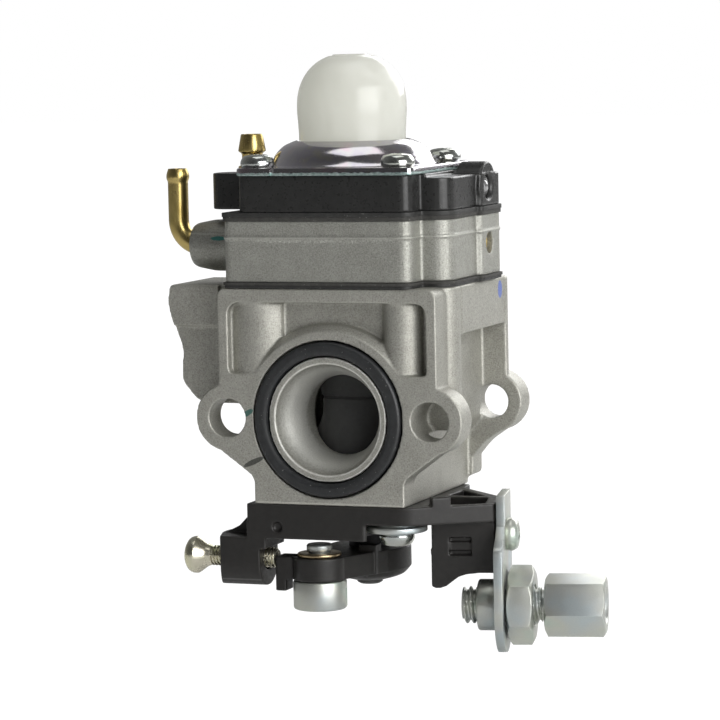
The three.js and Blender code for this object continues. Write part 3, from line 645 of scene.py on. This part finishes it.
def body_casting():
    core = panel(mirrored([(14, TOP), (14, -2, 1), (11.5, -5, 1), (11.5, BOTTOM)]), -28, -4, "y")
    plate = panel(mirrored([(16.7, TOP, 1.5), (16.7, 3.5), (19.6, -2.6), (11.5, -8.5, 1),
                                    (11.5, BOTTOM)]), FRONT, BACK, "y")
    pocket = panel([(-15.1, 6.4, 1), (15.2, 6.4, 1), (15.2, 16.7, 2), (-15.1, 16.7, 2)],
                   FRONT - 1, FRONT + 2.8, "y")
    plate = combine(plate, cut=[pocket])
    seat = turned([(0, FRONT), (12.7, FRONT), (13.6, FRONT + 1.3), (13.6, BACK), (0, BACK)], 160,
                  "y")
    seat = combine(seat, keep=[block((-20, 20), (-40, 0), (2, 18.7))])
    ears = [rod(4.85, FRONT, BACK, "y", (x, 0, 0)) for x in (-HALF, HALF)]
    wide = combine(rod(5, 3, TOP - 0.01, at=(-11.4, FRONT + 5.05, 0), sides=128),
                   keep=[block((-15.3, -7.4), (-33, -27), (2, TOP))])
    bosses = [wide, rod(3, 3, TOP - 0.01, at=(10.9, FRONT + 3.1, 0))]
    column = rod(3.2, -2, TOP - 0.02, at=(14.6, -25, 0))
    ledge = block((13.5, 17.7), (-23.3, -4.2), (11.8, TOP - 0.01))
    rear = panel(mirrored([(17.9, TOP, 0.5), (17.9, 3), (19.2, -2.75), (14.3, -6.1, 1),
                                   (12.4, -8.3), (12.4, -11.3, 1)]), -4.3, 0, "y")
    reliefs = [block(x, (-3, 1), (1, TOP + 1)) for x in ((-18.5, -15.3), (15.3, 18.5))]
    rear = combine(rear, cut=reliefs)
    rear_ears = [rod(4.6, -4.3, 0, "y", (x, 0, 0)) for x in (-HALF, HALF)]
    lobe = panel([(-13, TOP), (-26.5, TOP, 0.6), (-27, 16, 1.5), (-25.9, 12.2, 1), (-24.9, 9.4, 1),
                          (-25.2, 4.6, 1), (-22.4, 1.4, 1.5), (-13, 1.2)], -26.4, -11, "y")
    lobe = combine(lobe, cut=[block((-27.5, -18.8), (-27, -25.8), (0, 12.8)),
                              block((-18.8, -16.8), (-27, -25.2), (0, TOP + 1))])
    throat = ease([(7.8, -31.2), (7.35, -29.9), (6.6, -28.4), (6.05, -26.8), (5.8, -25)], 8)
    throat = turned([(0, FRONT - 1), (7.95, FRONT - 1), (7.95, FRONT + 0.1), *throat, (5.8, -5),
                     (6.3, 1), (0, 1)], 160, "y")
    groove = turned([(9.0, FRONT - 1), (11.4, FRONT - 1), (11.4, FRONT + 2.6), (9.0, FRONT + 2.6)],
                    160, "y")
    holes = [rod(2.8, FRONT - 1, -25, "y", (x, 0, 0)) for x in (-HALF, HALF)]
    holes += [rod(2.5, -5, 1, "y", (x, 0, 0)) for x in (-HALF, HALF)]
    wells = [rod(8.3, BOTTOM - 1, 8.9, at=ROTOR, sides=128), rod(1.2, -6, 1, "y", (9.8, 0, 11)),
             rod(2.5, -28, -25.6, "x", PLUG)]
    solid = combine(core, add=[plate, seat, *ears, *bosses, column, ledge, rear, *rear_ears, lobe],
                    cut=[throat, groove, *holes, *wells, *screw_holes(SCREWS, 8, TOP + 1),
                         *screw_holes(BRACKET_SCREWS, BOTTOM - 1, -5.5)])
    return cast(solid, 0.2, 5)


def stack_outline(left, grow=0.0):
    return rounded([(left - grow, FRONT - grow, 1.2), (13.1 + grow, FRONT - grow, 2),
                    (13.1 + grow, -27.7 - grow, 0.5), (17.5 + grow, -27.7 - grow, 3),
                    (17.5 + grow, -16 - grow, 0.4), (18.4 + grow, -16 - grow, 0.8),
                    (18.4 + grow, -7 + grow, 1.5), (left - grow, -7 + grow, 1.5)])


def pump_casting():
    block_ = prism(stack_outline(LEFT_END), TOP + 0.8, PUMP_TOP)
    seam = prism(stack_outline(LEFT_END, 0.16), 25.88, 26.1)
    boss = turned([(0, -24.8), (3.0, -24.8), (3.3, -24.2), (3.75, -21.8), (3.8, -21), (3.8, -15),
                   (0, -15)], 96, "x", INLET)
    cuts = [rod(CHAMBER, 24.6, 30, at=STACK), rod(1.8, -26, -12.6, "x", INLET),
            rod(1.6, 13.5, 19, "x", OUTLET)]
    return cast(combine(block_, add=[seam, boss], cut=cuts), 0.17, 4)


def purge_block():
    base = prism(stack_outline(-13.1), PURGE_LOW, PURGE_TOP)
    base = combine(base, cut=[block((14, 20), (-34, -6), (34.3, 36))])
    y = STACK[1]
    boss = panel([(-12, y - 3.1), (-12, y + 3.1), (-21.5, y + 3.1, 3), (-21.5, y - 3.1, 3)],
                 PURGE_LOW, PURGE_TOP - 0.02)
    arch = combine(rod(3.6, 14.3, 18.3, "x", BALL, 96),
                   keep=[block((14, 19), (-20, -5), (29.7, 37))])
    hole = turned([(0, 15), (1.7, 15), (1.7, 18), (2.1, 18.4), (2.1, 19), (0, 19)], 64, "x", BALL)
    cuts = [rod(CHAMBER, 29, 31.2, at=STACK), rod(HOLE, 31.8, 36, at=(RETURN_X, y, 0)),
            rod(1.6, 32.1, 36, at=STACK), hole]
    cuts += screw_holes(SCREWS, 29, 36)
    return cast(combine(base, add=[boss, arch], cut=cuts), 0.15, 4)


def bracket_moulding():
    slab = panel([(-12.9, FRONT, 0.6), (11.5, FRONT, 1.5), (22.45, -24.7, 0.4), (20.7, -16.6, 0.4),
                          (12.3, -8.5, 1), (12.3, -5, 1), (-12.9, -5, 1)], SLAB_BOTTOM, SLAB_TOP)
    cup = panel([(-12.9, FRONT, 0.6), (5.4, FRONT, 0.6), (7.5, -22), (8.6, -18, 2), (8.6, -8.4, 3),
                         (-12.9, -8.4, 1)], CUP_BOTTOM, SLAB_BOTTOM + 0.1)
    hook = panel([(14.9, -29.75), (17.2, -28.2), (16.2, -26.8), (13.9, -28.3)],
                 SLAB_TOP - 0.2, SLAB_TOP + 1.3)
    pockets = [panel([(12.9, -18.6, 0.5), (19.5, -18.4, 0.5), (20.9, -24.2, 0.5), (17.6, -26.2),
                      (13.2, -26.8, 0.5)], SLAB_BOTTOM + 1, SLAB_TOP + 2),
               panel([(12.9, -17.3, 0.3), (18.6, -17.1, 0.3), (13.2, -11.2, 0.3)], SLAB_BOTTOM + 1,
                     SLAB_TOP + 2)]
    half, centre = 3.65, -21.1
    section = [(IDLE_Y - half, CUP_BOTTOM + 0.1), *arc(IDLE_Y, centre, half, 180, 360, 40),
               (IDLE_Y + half, CUP_BOTTOM + 0.1)]
    boss = combine(prism(section, -19, -11, "x"), keep=[
        panel([(-16.8, -33), (-18.6, -27.4, 1), (-18.4, -24), (-11, -24), (-11, -33)], -26, -17)])
    gusset = prism([(-12.5, SLAB_TOP - 0.6), (-12.5, CUP_BOTTOM - 1), (-17.8, CUP_BOTTOM - 1),
                    (-17.8, CUP_BOTTOM + 0.1), (-15.6, -16.2)], -28.2, -26.6, "y")
    web = block((-12.9, -10), (FRONT + 0.02, -24.6), (-19, -15))
    low = SLAB_BOTTOM + 0.2
    wall = [(-9.3, low), (-9.3, -24), (-9.15, -24.5), (-8.7, -24.7), (-8, -24.7), (-7.1, -24.4),
            (-6.2, -23.7), (-5.3, -23.05), (-4.2, -22.7), (-2.4, -22.5), (0, -22.5), (0, low)]
    front = prism(wall, -3.6, -2.2, "y")
    rear = panel([(-7, low), (0, low), (0, -22.5), (-3, -22.5, 1)], 2.6, 4, "y")
    end = block((-2, 0), (-3.6, 4), (-22.5, low))
    slots = [block((-6.6, -3.4), (-4, -2.9), (z, z + 0.75)) for z in (-18.05, -19.95)]
    frame_ = block((-6.6, -3.4), (-4, -3.35), (-19.6, -17.3))
    arm = combine(front, add=[rear, end], cut=[*slots, frame_,
                                               rod(1.35, -3, 1, "x", (0, *PLATE_SCREW))])
    moved(arm, ARM)
    cuts = [rod(6.6, -16.4, -11, at=ROTOR, sides=96), rod(3.2, -19, -15, at=ROTOR),
            rod(1.75, -20, -9, "x", (0, IDLE_Y, IDLE_Z)), *pockets,
            turned([(0, -33), (0.75, -33), (0.75, -31.75), (0.45, -31.45), (0, -31.45)], 32, "y",
                   (-8.1, 0, -15.7))]
    sweep = [(6, ROTOR[1] - 6.5), *arc(0, ROTOR[1], 16.6, -23, -62, 40)]
    cuts.append(prism(sweep[::-1], -26, LEVER_TOP + 0.5))
    cuts += screw_holes(BRACKET_SCREWS, -19, -11)
    cuts += [rod(5, -19, SLAB_BOTTOM, at=(x, y, 0)) for x, y in BRACKET_SCREWS]
    solid = combine(slab, add=[cup, hook, boss, gusset, web, arm], cut=cuts)
    return cast(solid, 0.14, 3)


def lever_moulding():
    hub = turned([(0, -25.3), (2.5, -25.3), (2.8, -25.2),
                  *ease([(3.4, -25.05), (4.4, -24.75), (5.3, -24.3), (6.2, -23.3)], 5),
                  (6.2, LEVER_TOP), (0, LEVER_TOP)], at=ROTOR)
    eye = rod(3.9, LEVER_BOTTOM, LEVER_TOP, at=SWIVEL, sides=96)
    arm = panel([(-5.4, -18), (-7.0, -27.5), (0.6, -28.4), (5.6, -18)], LEVER_BOTTOM,
                LEVER_TOP - 0.01)
    tab = panel([(-9.4, -30, 0.4), (-7.6, -30, 0.4), (-5.4, -29.5), (-5.4, -26.4),
                 (-9.4, -26.4, 0.4)], LEVER_BOTTOM, LEVER_TOP - 0.02)
    finger = panel([(-9.4, -30, 0.4), (-7.7, -30, 0.4), (-7.7, -27, 0.4), (-9.4, -27, 0.4)],
                   LEVER_BOTTOM - 1.7, LEVER_TOP - 0.03)
    lug = block((0.9, 3.6), (-22.8, -20.6), (LEVER_BOTTOM, LEVER_TOP + 1))
    recess = panel([(-8.9, -29.5), (-7.7, -29.5, 0.5), (-5.9, -28.8, 0.5), (-6.6, -27.2),
                    (-8.9, -27)], LEVER_TOP - 0.7, LEVER_TOP + 1)
    cuts = [rod(2.25, -28, -19, at=ROTOR), rod(1.8, -28, -19, at=SWIVEL), recess]
    return cast(combine(hub, add=[eye, arm, tab, finger, lug], cut=cuts), 0.12, 3)


def rotor_moulding():
    barrel = turned([(0, -25.2), (2, -25.2), (2, LEVER_TOP), (3.0, LEVER_TOP), (3.0, -10.6),
                     (7.7, -10.6), (8.0, -10.3), (8.0, 2.1), (7.86, 2.2), (7.86, 2.5), (8.0, 2.6),
                     (8.0, 7.7), (7.7, 8.0), (0, 8)], 144)
    port = moved(rod(5.7, -10, 10, "y", (0, 0, 1.2), 96), spin(-TRAVEL))
    barrel = combine(barrel, cut=[port, rod(1.8, 5, 9), rod(1.2, -26, 0, sides=32)])
    return smooth(moved(barrel, shift(*ROTOR)))


place(body_casting(), "main_casting", "housing", body_metal, "main_body", "cast_body")
place(pump_casting(), "pump_casting", "housing", pump_metal, "pump_body", "pump_casting")
place(purge_block(), "upper_body", "housing", black_body, "purge_body", "black_plastic")
place(bracket_moulding(), "lower_bracket", "housing", black_bracket, "throttle_cover_bracket",
      "black_moulding")
place(lever_moulding(), "lever", "throttle", black_bracket, "throttle_lever", "black_moulding")
place(rotor_moulding(), "rotor", "throttle", rotor_black, "throttle_rotor", "black_moulding")

# ---- sheets between the castings

for node, grow, material, slot in (
    ("pump_diaphragm", 0.15, sheet_rubber, "rubber"),
    ("pump_gasket", 0.3, fibre, "gasket_fibre"),
    ("metering_gasket", 0.2, fibre, "gasket_fibre"),
    ("metering_diaphragm", 0.3, sheet_rubber, "rubber"),
):
    _, low, high = spot(node)
    sheet = prism(stack_outline(LEFT_END, grow), low.z, high.z)
    if node == "metering_gasket":
        sheet = combine(sheet, cut=[rod(CHAMBER, 20, 40, at=STACK)])
    if node == "metering_diaphragm":
        sheet = combine(sheet, cut=[rod(5, 20, 40, at=STACK)])
    place(crisp(sheet, 0.08, 2), node + "_sheet", "housing", material, node, slot)

# ---- intake seal, plugs, ball and hose fittings

lip = ease([(9.3, -32.3), (9.75, -32.48), (10.3, -32.5), (10.85, -32.46), (11.1, -32.25)], 4)
seal = turned([(9.25, -29.6), (9.2, FRONT), *lip, (11.15, FRONT), (11.15, -29.6)], 160, "y")
place(smooth(seal), "mouth_seal", "housing", seal_rubber, "intake_seal", "rubber")

plug = turned([(0, -27.3), (1.2, -27.35), (1.95, -27.25), (2.15, -27.05), (2.2, -26.8),
               (2.2, -25.7), (0, -25.7)], 96, "x", PLUG)
place(smooth(plug), "passage_plug", "housing", zinc_satin, "side_passage_plug", "zinc_plate")

plug = turned([(0, 17.1), (0.55, 17.1), (0.75, 17.35), (1.15, 17.6), (1.3, 17.5), (1.35, 17.3),
               (1.35, 14.6), (0, 14.6)], 64, "x", OUTLET)
place(smooth(plug), "pump_plug", "housing", brass, "pump_passage_plug", "brass")

centre, _, _ = spot("passage_ball")
angles = [math.pi * k / 32 for k in range(33)]
ball = turned([(1.33 * math.sin(a), -1.33 * math.cos(a)) for a in angles], 64, "x", centre)
ring = turned([(1.05, 0.55), (1.6, 0.4), (1.65, 0.75), (1.3, 0.95)], 64, "x", centre)
place(smooth(combine(ball, add=[ring])), "staked_ball", "housing", steel, "passage_ball",
      "zinc_plate")

elbow_z, leg_x, bend = INLET[2], -27.6, 3.7
path = [(-15 + (leg_x + bend + 15) * k / 6, STACK[1], elbow_z) for k in range(6)]
for a in (math.radians(a) for a in range(0, 91, 6)):
    path.append((leg_x + bend - bend * math.sin(a), STACK[1], elbow_z + bend - bend * math.cos(a)))
straight = [0.3, 2.2, 4.2, 5.0, 5.35, 5.6, 5.8, 6.1, 6.45, 6.8, 7.15, 7.45, 7.6]
path += [(leg_x, STACK[1], elbow_z + bend + h) for h in straight]
barb = (1.5, 1.5, 1.5, 1.56, 1.68, 1.7, 1.66, 1.56, 1.46, 1.4)
barb = dict(zip(range(len(path) - len(barb), len(path)), barb))
elbow = tube(path, lambda i: barb.get(i, 1.5), 0.95)
place(smooth(elbow, 50), "fuel_elbow", "housing", brass, "fuel_inlet_elbow", "brass")
fitting = turned([(0.9, -2.7), (1.4, -2.7), (1.4, 0), (2.0, 0), (2.05, 0.1), (2.05, 0.85),
                  (1.95, 0.95), (1.55, 1.1), (1.5, 2.5), (1.6, 2.8), (2.0, 3.1), (2.03, 3.25),
                  (1.62, 5.45), (1.55, 5.6), (1.1, 5.6), (0.9, 5.4)],
                 at=(RETURN_X, STACK[1], PURGE_TOP))
place(smooth(fitting), "return_barb", "housing", brass, "return_fitting", "brass")

# ---- primer: valve, bulb and pressed cover

tip = ease([(4.4, 35.35), (3.0, 35.6), (1.9, 36.3), (1.2, 37.1), (0.7, 37.5)], 4)
valve = turned([(0, 32.4), (1.2, 32.4), (1.3, PURGE_TOP), (4.55, PURGE_TOP),
                (4.6, PURGE_TOP + 0.1), (4.6, 35.2), *tip, (0, 37.6)], at=STACK)
place(smooth(valve), "duckbill_valve", "housing", valve_rubber, "purge_check_valve", "rubber")


def bulb():
    top, belly_z, belly_r, wall = 52.1, 44.5, 7.95, 1.0

    def dome(radius, height, steps):
        angles = [math.pi / 2 * k / steps for k in range(1, steps)]
        power, lift = 0.85, 0.95  # squarer than an ellipse
        return [(radius * math.cos(a) ** power, belly_z + height * math.sin(a) ** lift)
                for a in angles]

    outside = [(10.8, PURGE_TOP), (10.8, PURGE_TOP + 0.8), (10.6, PURGE_TOP + 1.0),
               (8.2, PURGE_TOP + 1.25), (7.8, PURGE_TOP + 1.7)]
    outside += [(7.75, 38.0), (7.75, 40.5), (7.86, 42.5), (7.94, 43.6), (belly_r, belly_z)]
    outside += dome(belly_r, top - belly_z, 22)
    while outside[-1][0] < 2.9:  # leaves room for the sprue mark
        outside.pop()
    outside += [(2.75, 51.72), (2.6, 51.86), (2.4, 51.9), (2.2, 51.84), (1.9, 51.8), (0, 51.82)]
    inside = [(0, top - wall), *reversed(dome(belly_r - wall, top - wall - belly_z, 14)),
              (belly_r - wall, belly_z), (6.75, 40.5), (6.75, PURGE_TOP)]
    shell = turned(outside + inside, 144, at=STACK)
    return smooth(shell, 60)


primer = place(bulb(), "bulb", "housing", bulb_plastic, "primer_bulb", "bulb")
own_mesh(primer)


def cover():
    """Pressed cover: a flat sheet that rises in one smooth skirt round the bulb."""
    low, top = PURGE_TOP, PURGE_TOP + 1.1
    sides = 288
    edge_x, edge_y = (-13.1 - STACK[0], 13.9 - STACK[0]), (-33 - STACK[1], -7 - STACK[1])

    def rim(a, inset=0.0):
        """Where a ray at angle a meets the sheet's rounded rectangle."""
        c, s = math.cos(a), math.sin(a)
        x = (edge_x[1] if c > 0 else -edge_x[0]) - inset
        y = (edge_y[1] if s > 0 else -edge_y[0]) - inset
        power = 26  # close to a rectangle, with softly rounded corners
        return 1 / ((abs(c) / x) ** power + (abs(s) / y) ** power) ** (1 / power)

    skirt = ease([(12.55, top), (12.2, top + 0.12), (11.7, top + 0.75), (11.1, top + 1.75),
                  (10.1, top + 2.75), (9.0, 39.3), (8.3, 39.56)], 4)
    lip = [(8.1, 39.55), (8.04, 39.4), (8.04, 38.8), (8.2, 38.7)]
    under = ease([(8.8, 38.6), (10.0, 37.7), (10.9, 36.7), (11.3, 35.9), (11.5, low + 0.15)], 3)
    under.append((11.5, low))
    bm = bmesh.new()
    rings = []

    def ring(radius, height):
        row = []
        for k in range(sides):
            a = TAU * k / sides
            r = radius(a) if callable(radius) else radius
            x, y = STACK[0] + r * math.cos(a), STACK[1] + r * math.sin(a)
            row.append(bm.verts.new((x, y, height)))
        rings.append(row)

    edge = ((0.12, low), (0, low + 0.12), (0, top - 0.22), (0.07, top - 0.06), (0.22, top))
    for inset, height in edge:
        ring(lambda a, inset=inset: rim(a, inset), height)
    for t in (0.35, 0.7, 1.0):
        ring(lambda a, t=t: rim(a, 0.22) * (1 - t) + 12.8 * t, top)
    for r, h in [*skirt, *lip, *under]:
        ring(min(r, 12.7), h)
    skin(bm, rings + rings[:1])
    plate = from_bmesh(bm)
    notch = block((-7.65, -6.95), (-34, -32.55), (33, 38))
    seats = [rod(2.62, top, 45, at=(x, y, 0)) for x, y in SCREWS]
    return smooth(combine(plate, cut=[notch, *seats]), 32)


def cover_metal():
    """Chrome with a sheared lower edge that shows bluish green."""
    s = Shader("chrome_cover", CHROME, 0.12, 1.0)
    tints = hues(CHROME, (0.04, -0.03, 0.0), NONE, (-0.03, -0.04, 0.0), (0.04, 0.03, -0.05))
    base_ = s.ramp(s.noise(0.22, 3), *tints)
    height = s.math("ADD", s.axes()[2], s.times(s.noise(1.6, 4), 0.5))
    sheared = s.span(height, PURGE_TOP + 0.62, PURGE_TOP + 0.72, 1, 0)
    edge = s.ramp(s.noise(2.5, 4), (0.35, (0.30, 0.42, 0.40)), (0.65, (0.62, 0.72, 0.70)))
    base_ = s.mix(sheared, base_, edge)
    rough = s.math("ADD", s.span(s.noise(1.8, 4), 0.3, 0.7, 0.11, 0.17), s.times(sheared, 0.3))
    return s.finish(base_, rough, [(s.noise(0.35, 2), 0.2, 0.08), (s.noise(9, 3), 0.12, 0.012)])


place(cover(), "pressed_cover", "housing", cover_metal(), "primer_cover_plate", "chrome_plate")

# ---- screws and washers


def cross(depth, size, top):
    """Two crossed wedges for a screwdriver recess, pointing down from the top of a head."""
    blades = []
    for turn in (0, 90):
        blade = prism([(-size, top + 0.5), (size, top + 0.5), (size, top),
                       (size * 0.28, top - depth), (-size * 0.28, top - depth), (-size, top)],
                      -size * 0.2, size * 0.2, "y")
        blades.append(moved(blade, spin(turn)))
    return blades


def pan_screw(r, head_r, head_t, length):
    """Pan-head screw standing on Z with the underside of its head at 0."""
    crown = ease([(head_r - 0.08, head_t * 0.12), (head_r, head_t * 0.3),
                  (head_r - 0.1, head_t * 0.55), (head_r * 0.78, head_t * 0.86),
                  (head_r * 0.4, head_t * 0.98)], 5)
    head = turned([(0, -0.3), (r, -0.3), (r, 0), (head_r - 0.2, 0), *crown, (0, head_t)])
    shank = moved(thread(r, 0.24, 0.7, -length, -0.2, sides=40, per_turn=9), spin(-90, "Y"))
    screw = combine(head, cut=cross(head_t * 0.75, head_r * 0.52, head_t + 0.02))
    return smooth(gather(screw, shank), 35)


for i, turn in zip(range(1, 5), (20, 65, 40, 10)):
    centre, _, _ = spot(f"cover_screw_{i}")
    screw = pan_screw(1.5, 2.45, 1.9, 26)
    moved(screw, spin(turn), shift(centre.x, centre.y, 36.0))
    place(screw, f"cover_screw_head_{i}", "housing", zinc_bright, f"cover_screw_{i}", "zinc_plate")

for i, turn in ((1, 30), (2, 70)):
    centre, low, high = spot(f"bracket_washer_{i}")
    washer = turned([(1.8, low.z), (4.25, low.z), (4.4, low.z + 0.15), (4.4, low.z + 0.7),
                     (4.3, low.z + 0.85), (3.4, low.z + 0.9), (3.35, high.z), (1.8, high.z)],
                    at=(centre.x, centre.y, 0))
    place(crisp(washer, 0.07, 2), f"bracket_screw_washer_{i}", "housing", zinc,
          f"bracket_washer_{i}", "zinc_plate")
    screw = pan_screw(1.5, 2.55, 2.2, 10)
    moved(screw, spin(180, "X"), spin(turn), shift(centre.x, centre.y, low.z))
    place(screw, f"bracket_pan_screw_{i}", "housing", zinc_bright, f"bracket_screw_{i}",
          "zinc_plate")


def idle_screw():
    crown = ease([(1.9, -23.6), (2.45, -23.2), (2.68, -22.7), (2.7, -22.2), (2.6, -21.9),
                  (2.1, -21.2), (1.7, -20.6), (1.45, -19.9)], 5)
    head = turned([(0, -23.85), (1.2, -23.82), *crown, (1.3, -19.6), (0, -19.6)])
    recess = [moved(b, spin(180, "X")) for b in cross(1.3, 1.35, 23.9)]
    head = moved(combine(head, cut=recess), spin(90, "Y"))
    head = gather(head, thread(1.5, 0.24, 0.5, -19.9, -9.6, sides=56, per_turn=12))
    return smooth(moved(head, shift(0, IDLE_Y, IDLE_Z)), 35)


place(idle_screw(), "idle_screw", "idle_screw", zinc_yellow, "idle_speed_screw", "yellow_zinc")

# ---- cable swivel and its clip


def swivel():
    low = -27.9
    drum = turned([(0, low), (3.55, low), (3.8, low + 0.1), (3.9, low + 0.35), (3.9, -24.0),
                   (3.8, -23.8), (3.6, -23.7), (1.55, -23.7), (1.55, -19.5), (1.8, -19.5),
                   (1.85, -19.4), (1.85, -18.7), (1.7, -18.5), (0, -18.5)], 128)
    slot = block((0, 6), (-0.6, 0.6), (low - 1, low + 3))
    drum = combine(drum, cut=[slot, rod(1.5, low - 1, low + 3)])
    drum = moved(drum, spin(ARM_TURN), shift(*SWIVEL))
    return crisp(drum, 0.09, 2)


place(swivel(), "swivel_drum", "swivel", zinc_satin, "cable_swivel", "zinc_plate")
_, low, high = spot("swivel_clip")
clip = combine(turned([(1.7, low.z), (3.1, low.z), (3.2, low.z + 0.1), (3.2, high.z - 0.1),
                       (3.1, high.z), (1.7, high.z)], at=SWIVEL),
               cut=[block((-3.7, -2.7), (-25.5, -24), (low.z - 1, high.z + 1))])
place(crisp(clip, 0.06, 2), "retaining_clip", "swivel", bronze, "swivel_clip", "bronze")

# ---- cable plate and adjuster


def arm_piece(obj, name, body, node):
    """Places a zinc-plated piece drawn in the frame of the bracket's arm."""
    place(moved(obj, ARM), name, body, zinc, node, "zinc_plate")


def cable_plate():
    r, (_, y, z) = 6.8, CABLE
    outline = [(-4.1, -11.3), (-4.1, -15.2), *ease([(-4.3, -15.7), (-6.4, -17.2), (-8.4, -18.3),
               (y - r, -19.0)], 4), *arc(y, z, r, 180, 360, 48),
               *ease([(y + r, -19.0), (4.65, -18.2), (4.3, -16.2), (4.1, -15.2)], 4), (4.1, -11.3)]
    blank = prism(outline, 0.3, 1.5, "x")
    return crisp(combine(blank, cut=[rod(3.0, -1, 3, "x", CABLE)]), 0.22, 3)


arm_piece(cable_plate(), "cable_plate_sheet", "housing", "cable_plate")
screw = pan_screw(1.2, 2.4, 1.8, 3.6)
moved(screw, spin(25), spin(90, "Y"), shift(1.5, *PLATE_SCREW))
arm_piece(screw, "plate_pan_screw", "housing", "cable_plate_screw")
collar = turned([(3.0, -2.65), (3.5, -2.65), (3.7, -2.45), (3.7, 0), (3.0, 0)], 96, "x", CABLE)
arm_piece(crisp(collar, 0.08, 2), "threaded_collar", "housing", "plate_collar")


def adjuster():
    head = hex_along_x(8, 7.05, 15.75, 10.5)
    bore = turned([(0, 9.5), (2.35, 9.5), (2.35, 15.35), (2.75, 15.8), (2.75, 17), (0, 17)], 64,
                  "x")
    head = crisp(combine(head, cut=[bore]), 0.1, 3)
    stem = thread(2.7, 0.5, 1.0, -4.95, 6.6, sides=80, per_turn=16)
    neck = turned([(0, 6.3), (2.2, 6.3), (2.2, 7.2), (0, 7.2)], 64, "x")
    head = combine(head, add=[stem, neck])
    return smooth(moved(head, shift(*CABLE)), 35)


arm_piece(adjuster(), "cable_adjuster_body", "adjuster", "cable_adjuster")
nut = combine(hex_along_x(10, 1.8, 5.5, 24), cut=[rod(3.0, 0, 7, "x")])
nut = moved(crisp(nut, 0.1, 3), shift(*CABLE))
arm_piece(nut, "lock_nut", "lock_nut", "adjuster_lock_nut")

# ---- springs

def spring(name, node, size, at):
    """A wire spring standing on its foot."""
    r, wire, low, turns, pitch = size
    piece = place(coil(r, wire, low, turns, pitch, at), name, "housing", steel, node,
                  "spring_steel")
    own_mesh(piece)


spring("return_spring", "throttle_return_spring", (4.9, 0.9, -15.2, 3, 1.15), ROTOR)
spring("lever_spring", "metering_spring", (1.05, 0.4, 22.75, 4, 0.72), (STACK[0], -18.9))

# ---- kept CAD nodes

for material, names in (
    (brass, ("fuel_nozzle", "inlet_screen", "jet_needle")),
    (black_bracket, ("needle_cap",)),
    (steel, ("metering_lever_pin", "inlet_needle")),
    (zinc, ("spring_seat_washer", "diaphragm_plate", "metering_lever")),
):
    for name in names:
        for slot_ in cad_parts[name].material_slots:
            slot_.material = material

# ---- studio

low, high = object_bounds()
bm = bmesh.new()
bmesh.ops.create_grid(bm, x_segments=8, y_segments=8, size=3)
floor = from_bmesh(bm)
floor.name = "studio_floor"
floor.location.z = low.z - 0.0004
paper = Shader("pale_paper", (0.93, 0.93, 0.925), 0.9)
floor.data.materials.append(paper.finish(paper.tint(0.995, 1.005, 0.02)))
glow = paper.add("ShaderNodeEmission", {"Strength": 1.1})
lens_ray = paper.add("ShaderNodeLightPath").outputs["Is Camera Ray"]
mixed = paper.add("ShaderNodeMixShader", {0: paper.times(lens_ray, 0.96),
                                          1: paper.surface.outputs[0], 2: glow.outputs[0]})
paper.feed(paper.tree.nodes["Material Output"].inputs["Surface"], mixed.outputs[0])


def area(name, place_, target, size_, power):
    data = bpy.data.lights.new(name, "AREA")
    data.shape = "RECTANGLE"
    data.size, data.size_y = size_
    data.energy = power
    lamp = bpy.data.objects.new(name, data)
    scene.collection.objects.link(lamp)
    lamp.location = place_
    lamp.rotation_euler = (Vector(target) - Vector(place_)).to_track_quat("-Z", "Y").to_euler()


middle = (low + high) / 2
area("key_right", (0.55, -0.374, 0.20), middle, (0.58, 0.46), 5.2)
area("back_light", (0.15, 0.65, 0.30), middle, (0.7, 0.4), 3.4)
area("top_soft", (0.05, -0.05, 0.70), middle, (0.5, 0.4), 1.0)

world = bpy.data.worlds.new("studio")
scene.world = world
world.use_nodes = True
world.node_tree.nodes.clear()
sky = Nodes(world.node_tree)
where = sky.add("ShaderNodeTexCoord").outputs["Generated"]
_, y, z = sky.add("ShaderNodeSeparateXYZ", {0: where}).outputs
greys = ((0, (0.55,) * 3), (0.5, (0.42,) * 3), (1, (0.25,) * 3))  # ground, horizon, ceiling
soft = sky.add("ShaderNodeBackground", {
    "Color": sky.ramp(sky.span(z, -1, 1, 0, 1), *greys),
    "Strength": sky.span(y, -1, 0.6, 0.16, 0.75),  # dim in front of the part, bright behind it
})
seen = sky.add("ShaderNodeBackground", {"Color": (1, 1, 1, 1)})
lens_ray = sky.add("ShaderNodeLightPath").outputs["Is Camera Ray"]
pick = sky.add("ShaderNodeMixShader", {0: lens_ray, 1: soft.outputs[0], 2: seen.outputs[0]})
sky.add("ShaderNodeOutputWorld", {"Surface": pick.outputs[0]})

# ---- camera

AZIMUTH, ELEVATION, ROLL = (math.radians(a) for a in (20.88, 5.45, 1.19))
DISTANCE, LENS = 0.4785, 168.6
AIM = Vector((5.22, FRONT, 8.69)) * MM
back = Vector((math.sin(AZIMUTH) * math.cos(ELEVATION), -math.cos(AZIMUTH) * math.cos(ELEVATION),
               math.sin(ELEVATION)))
right = Vector((math.cos(AZIMUTH), math.sin(AZIMUTH), 0))
up = back.cross(right)
x_axis = right * math.cos(ROLL) - up * math.sin(ROLL)
y_axis = right * math.sin(ROLL) + up * math.cos(ROLL)
data = bpy.data.cameras.new("camera")
data.lens, data.sensor_width = LENS, 36
data.clip_start, data.clip_end = 0.01, 20
camera = bpy.data.objects.new("camera", data)
scene.collection.objects.link(camera)
turn = Matrix((x_axis, y_axis, back)).transposed().to_4x4()
camera.matrix_world = shift(*(AIM + back * DISTANCE)) @ turn
scene.camera = camera
scene.view_settings.view_transform = "Standard"
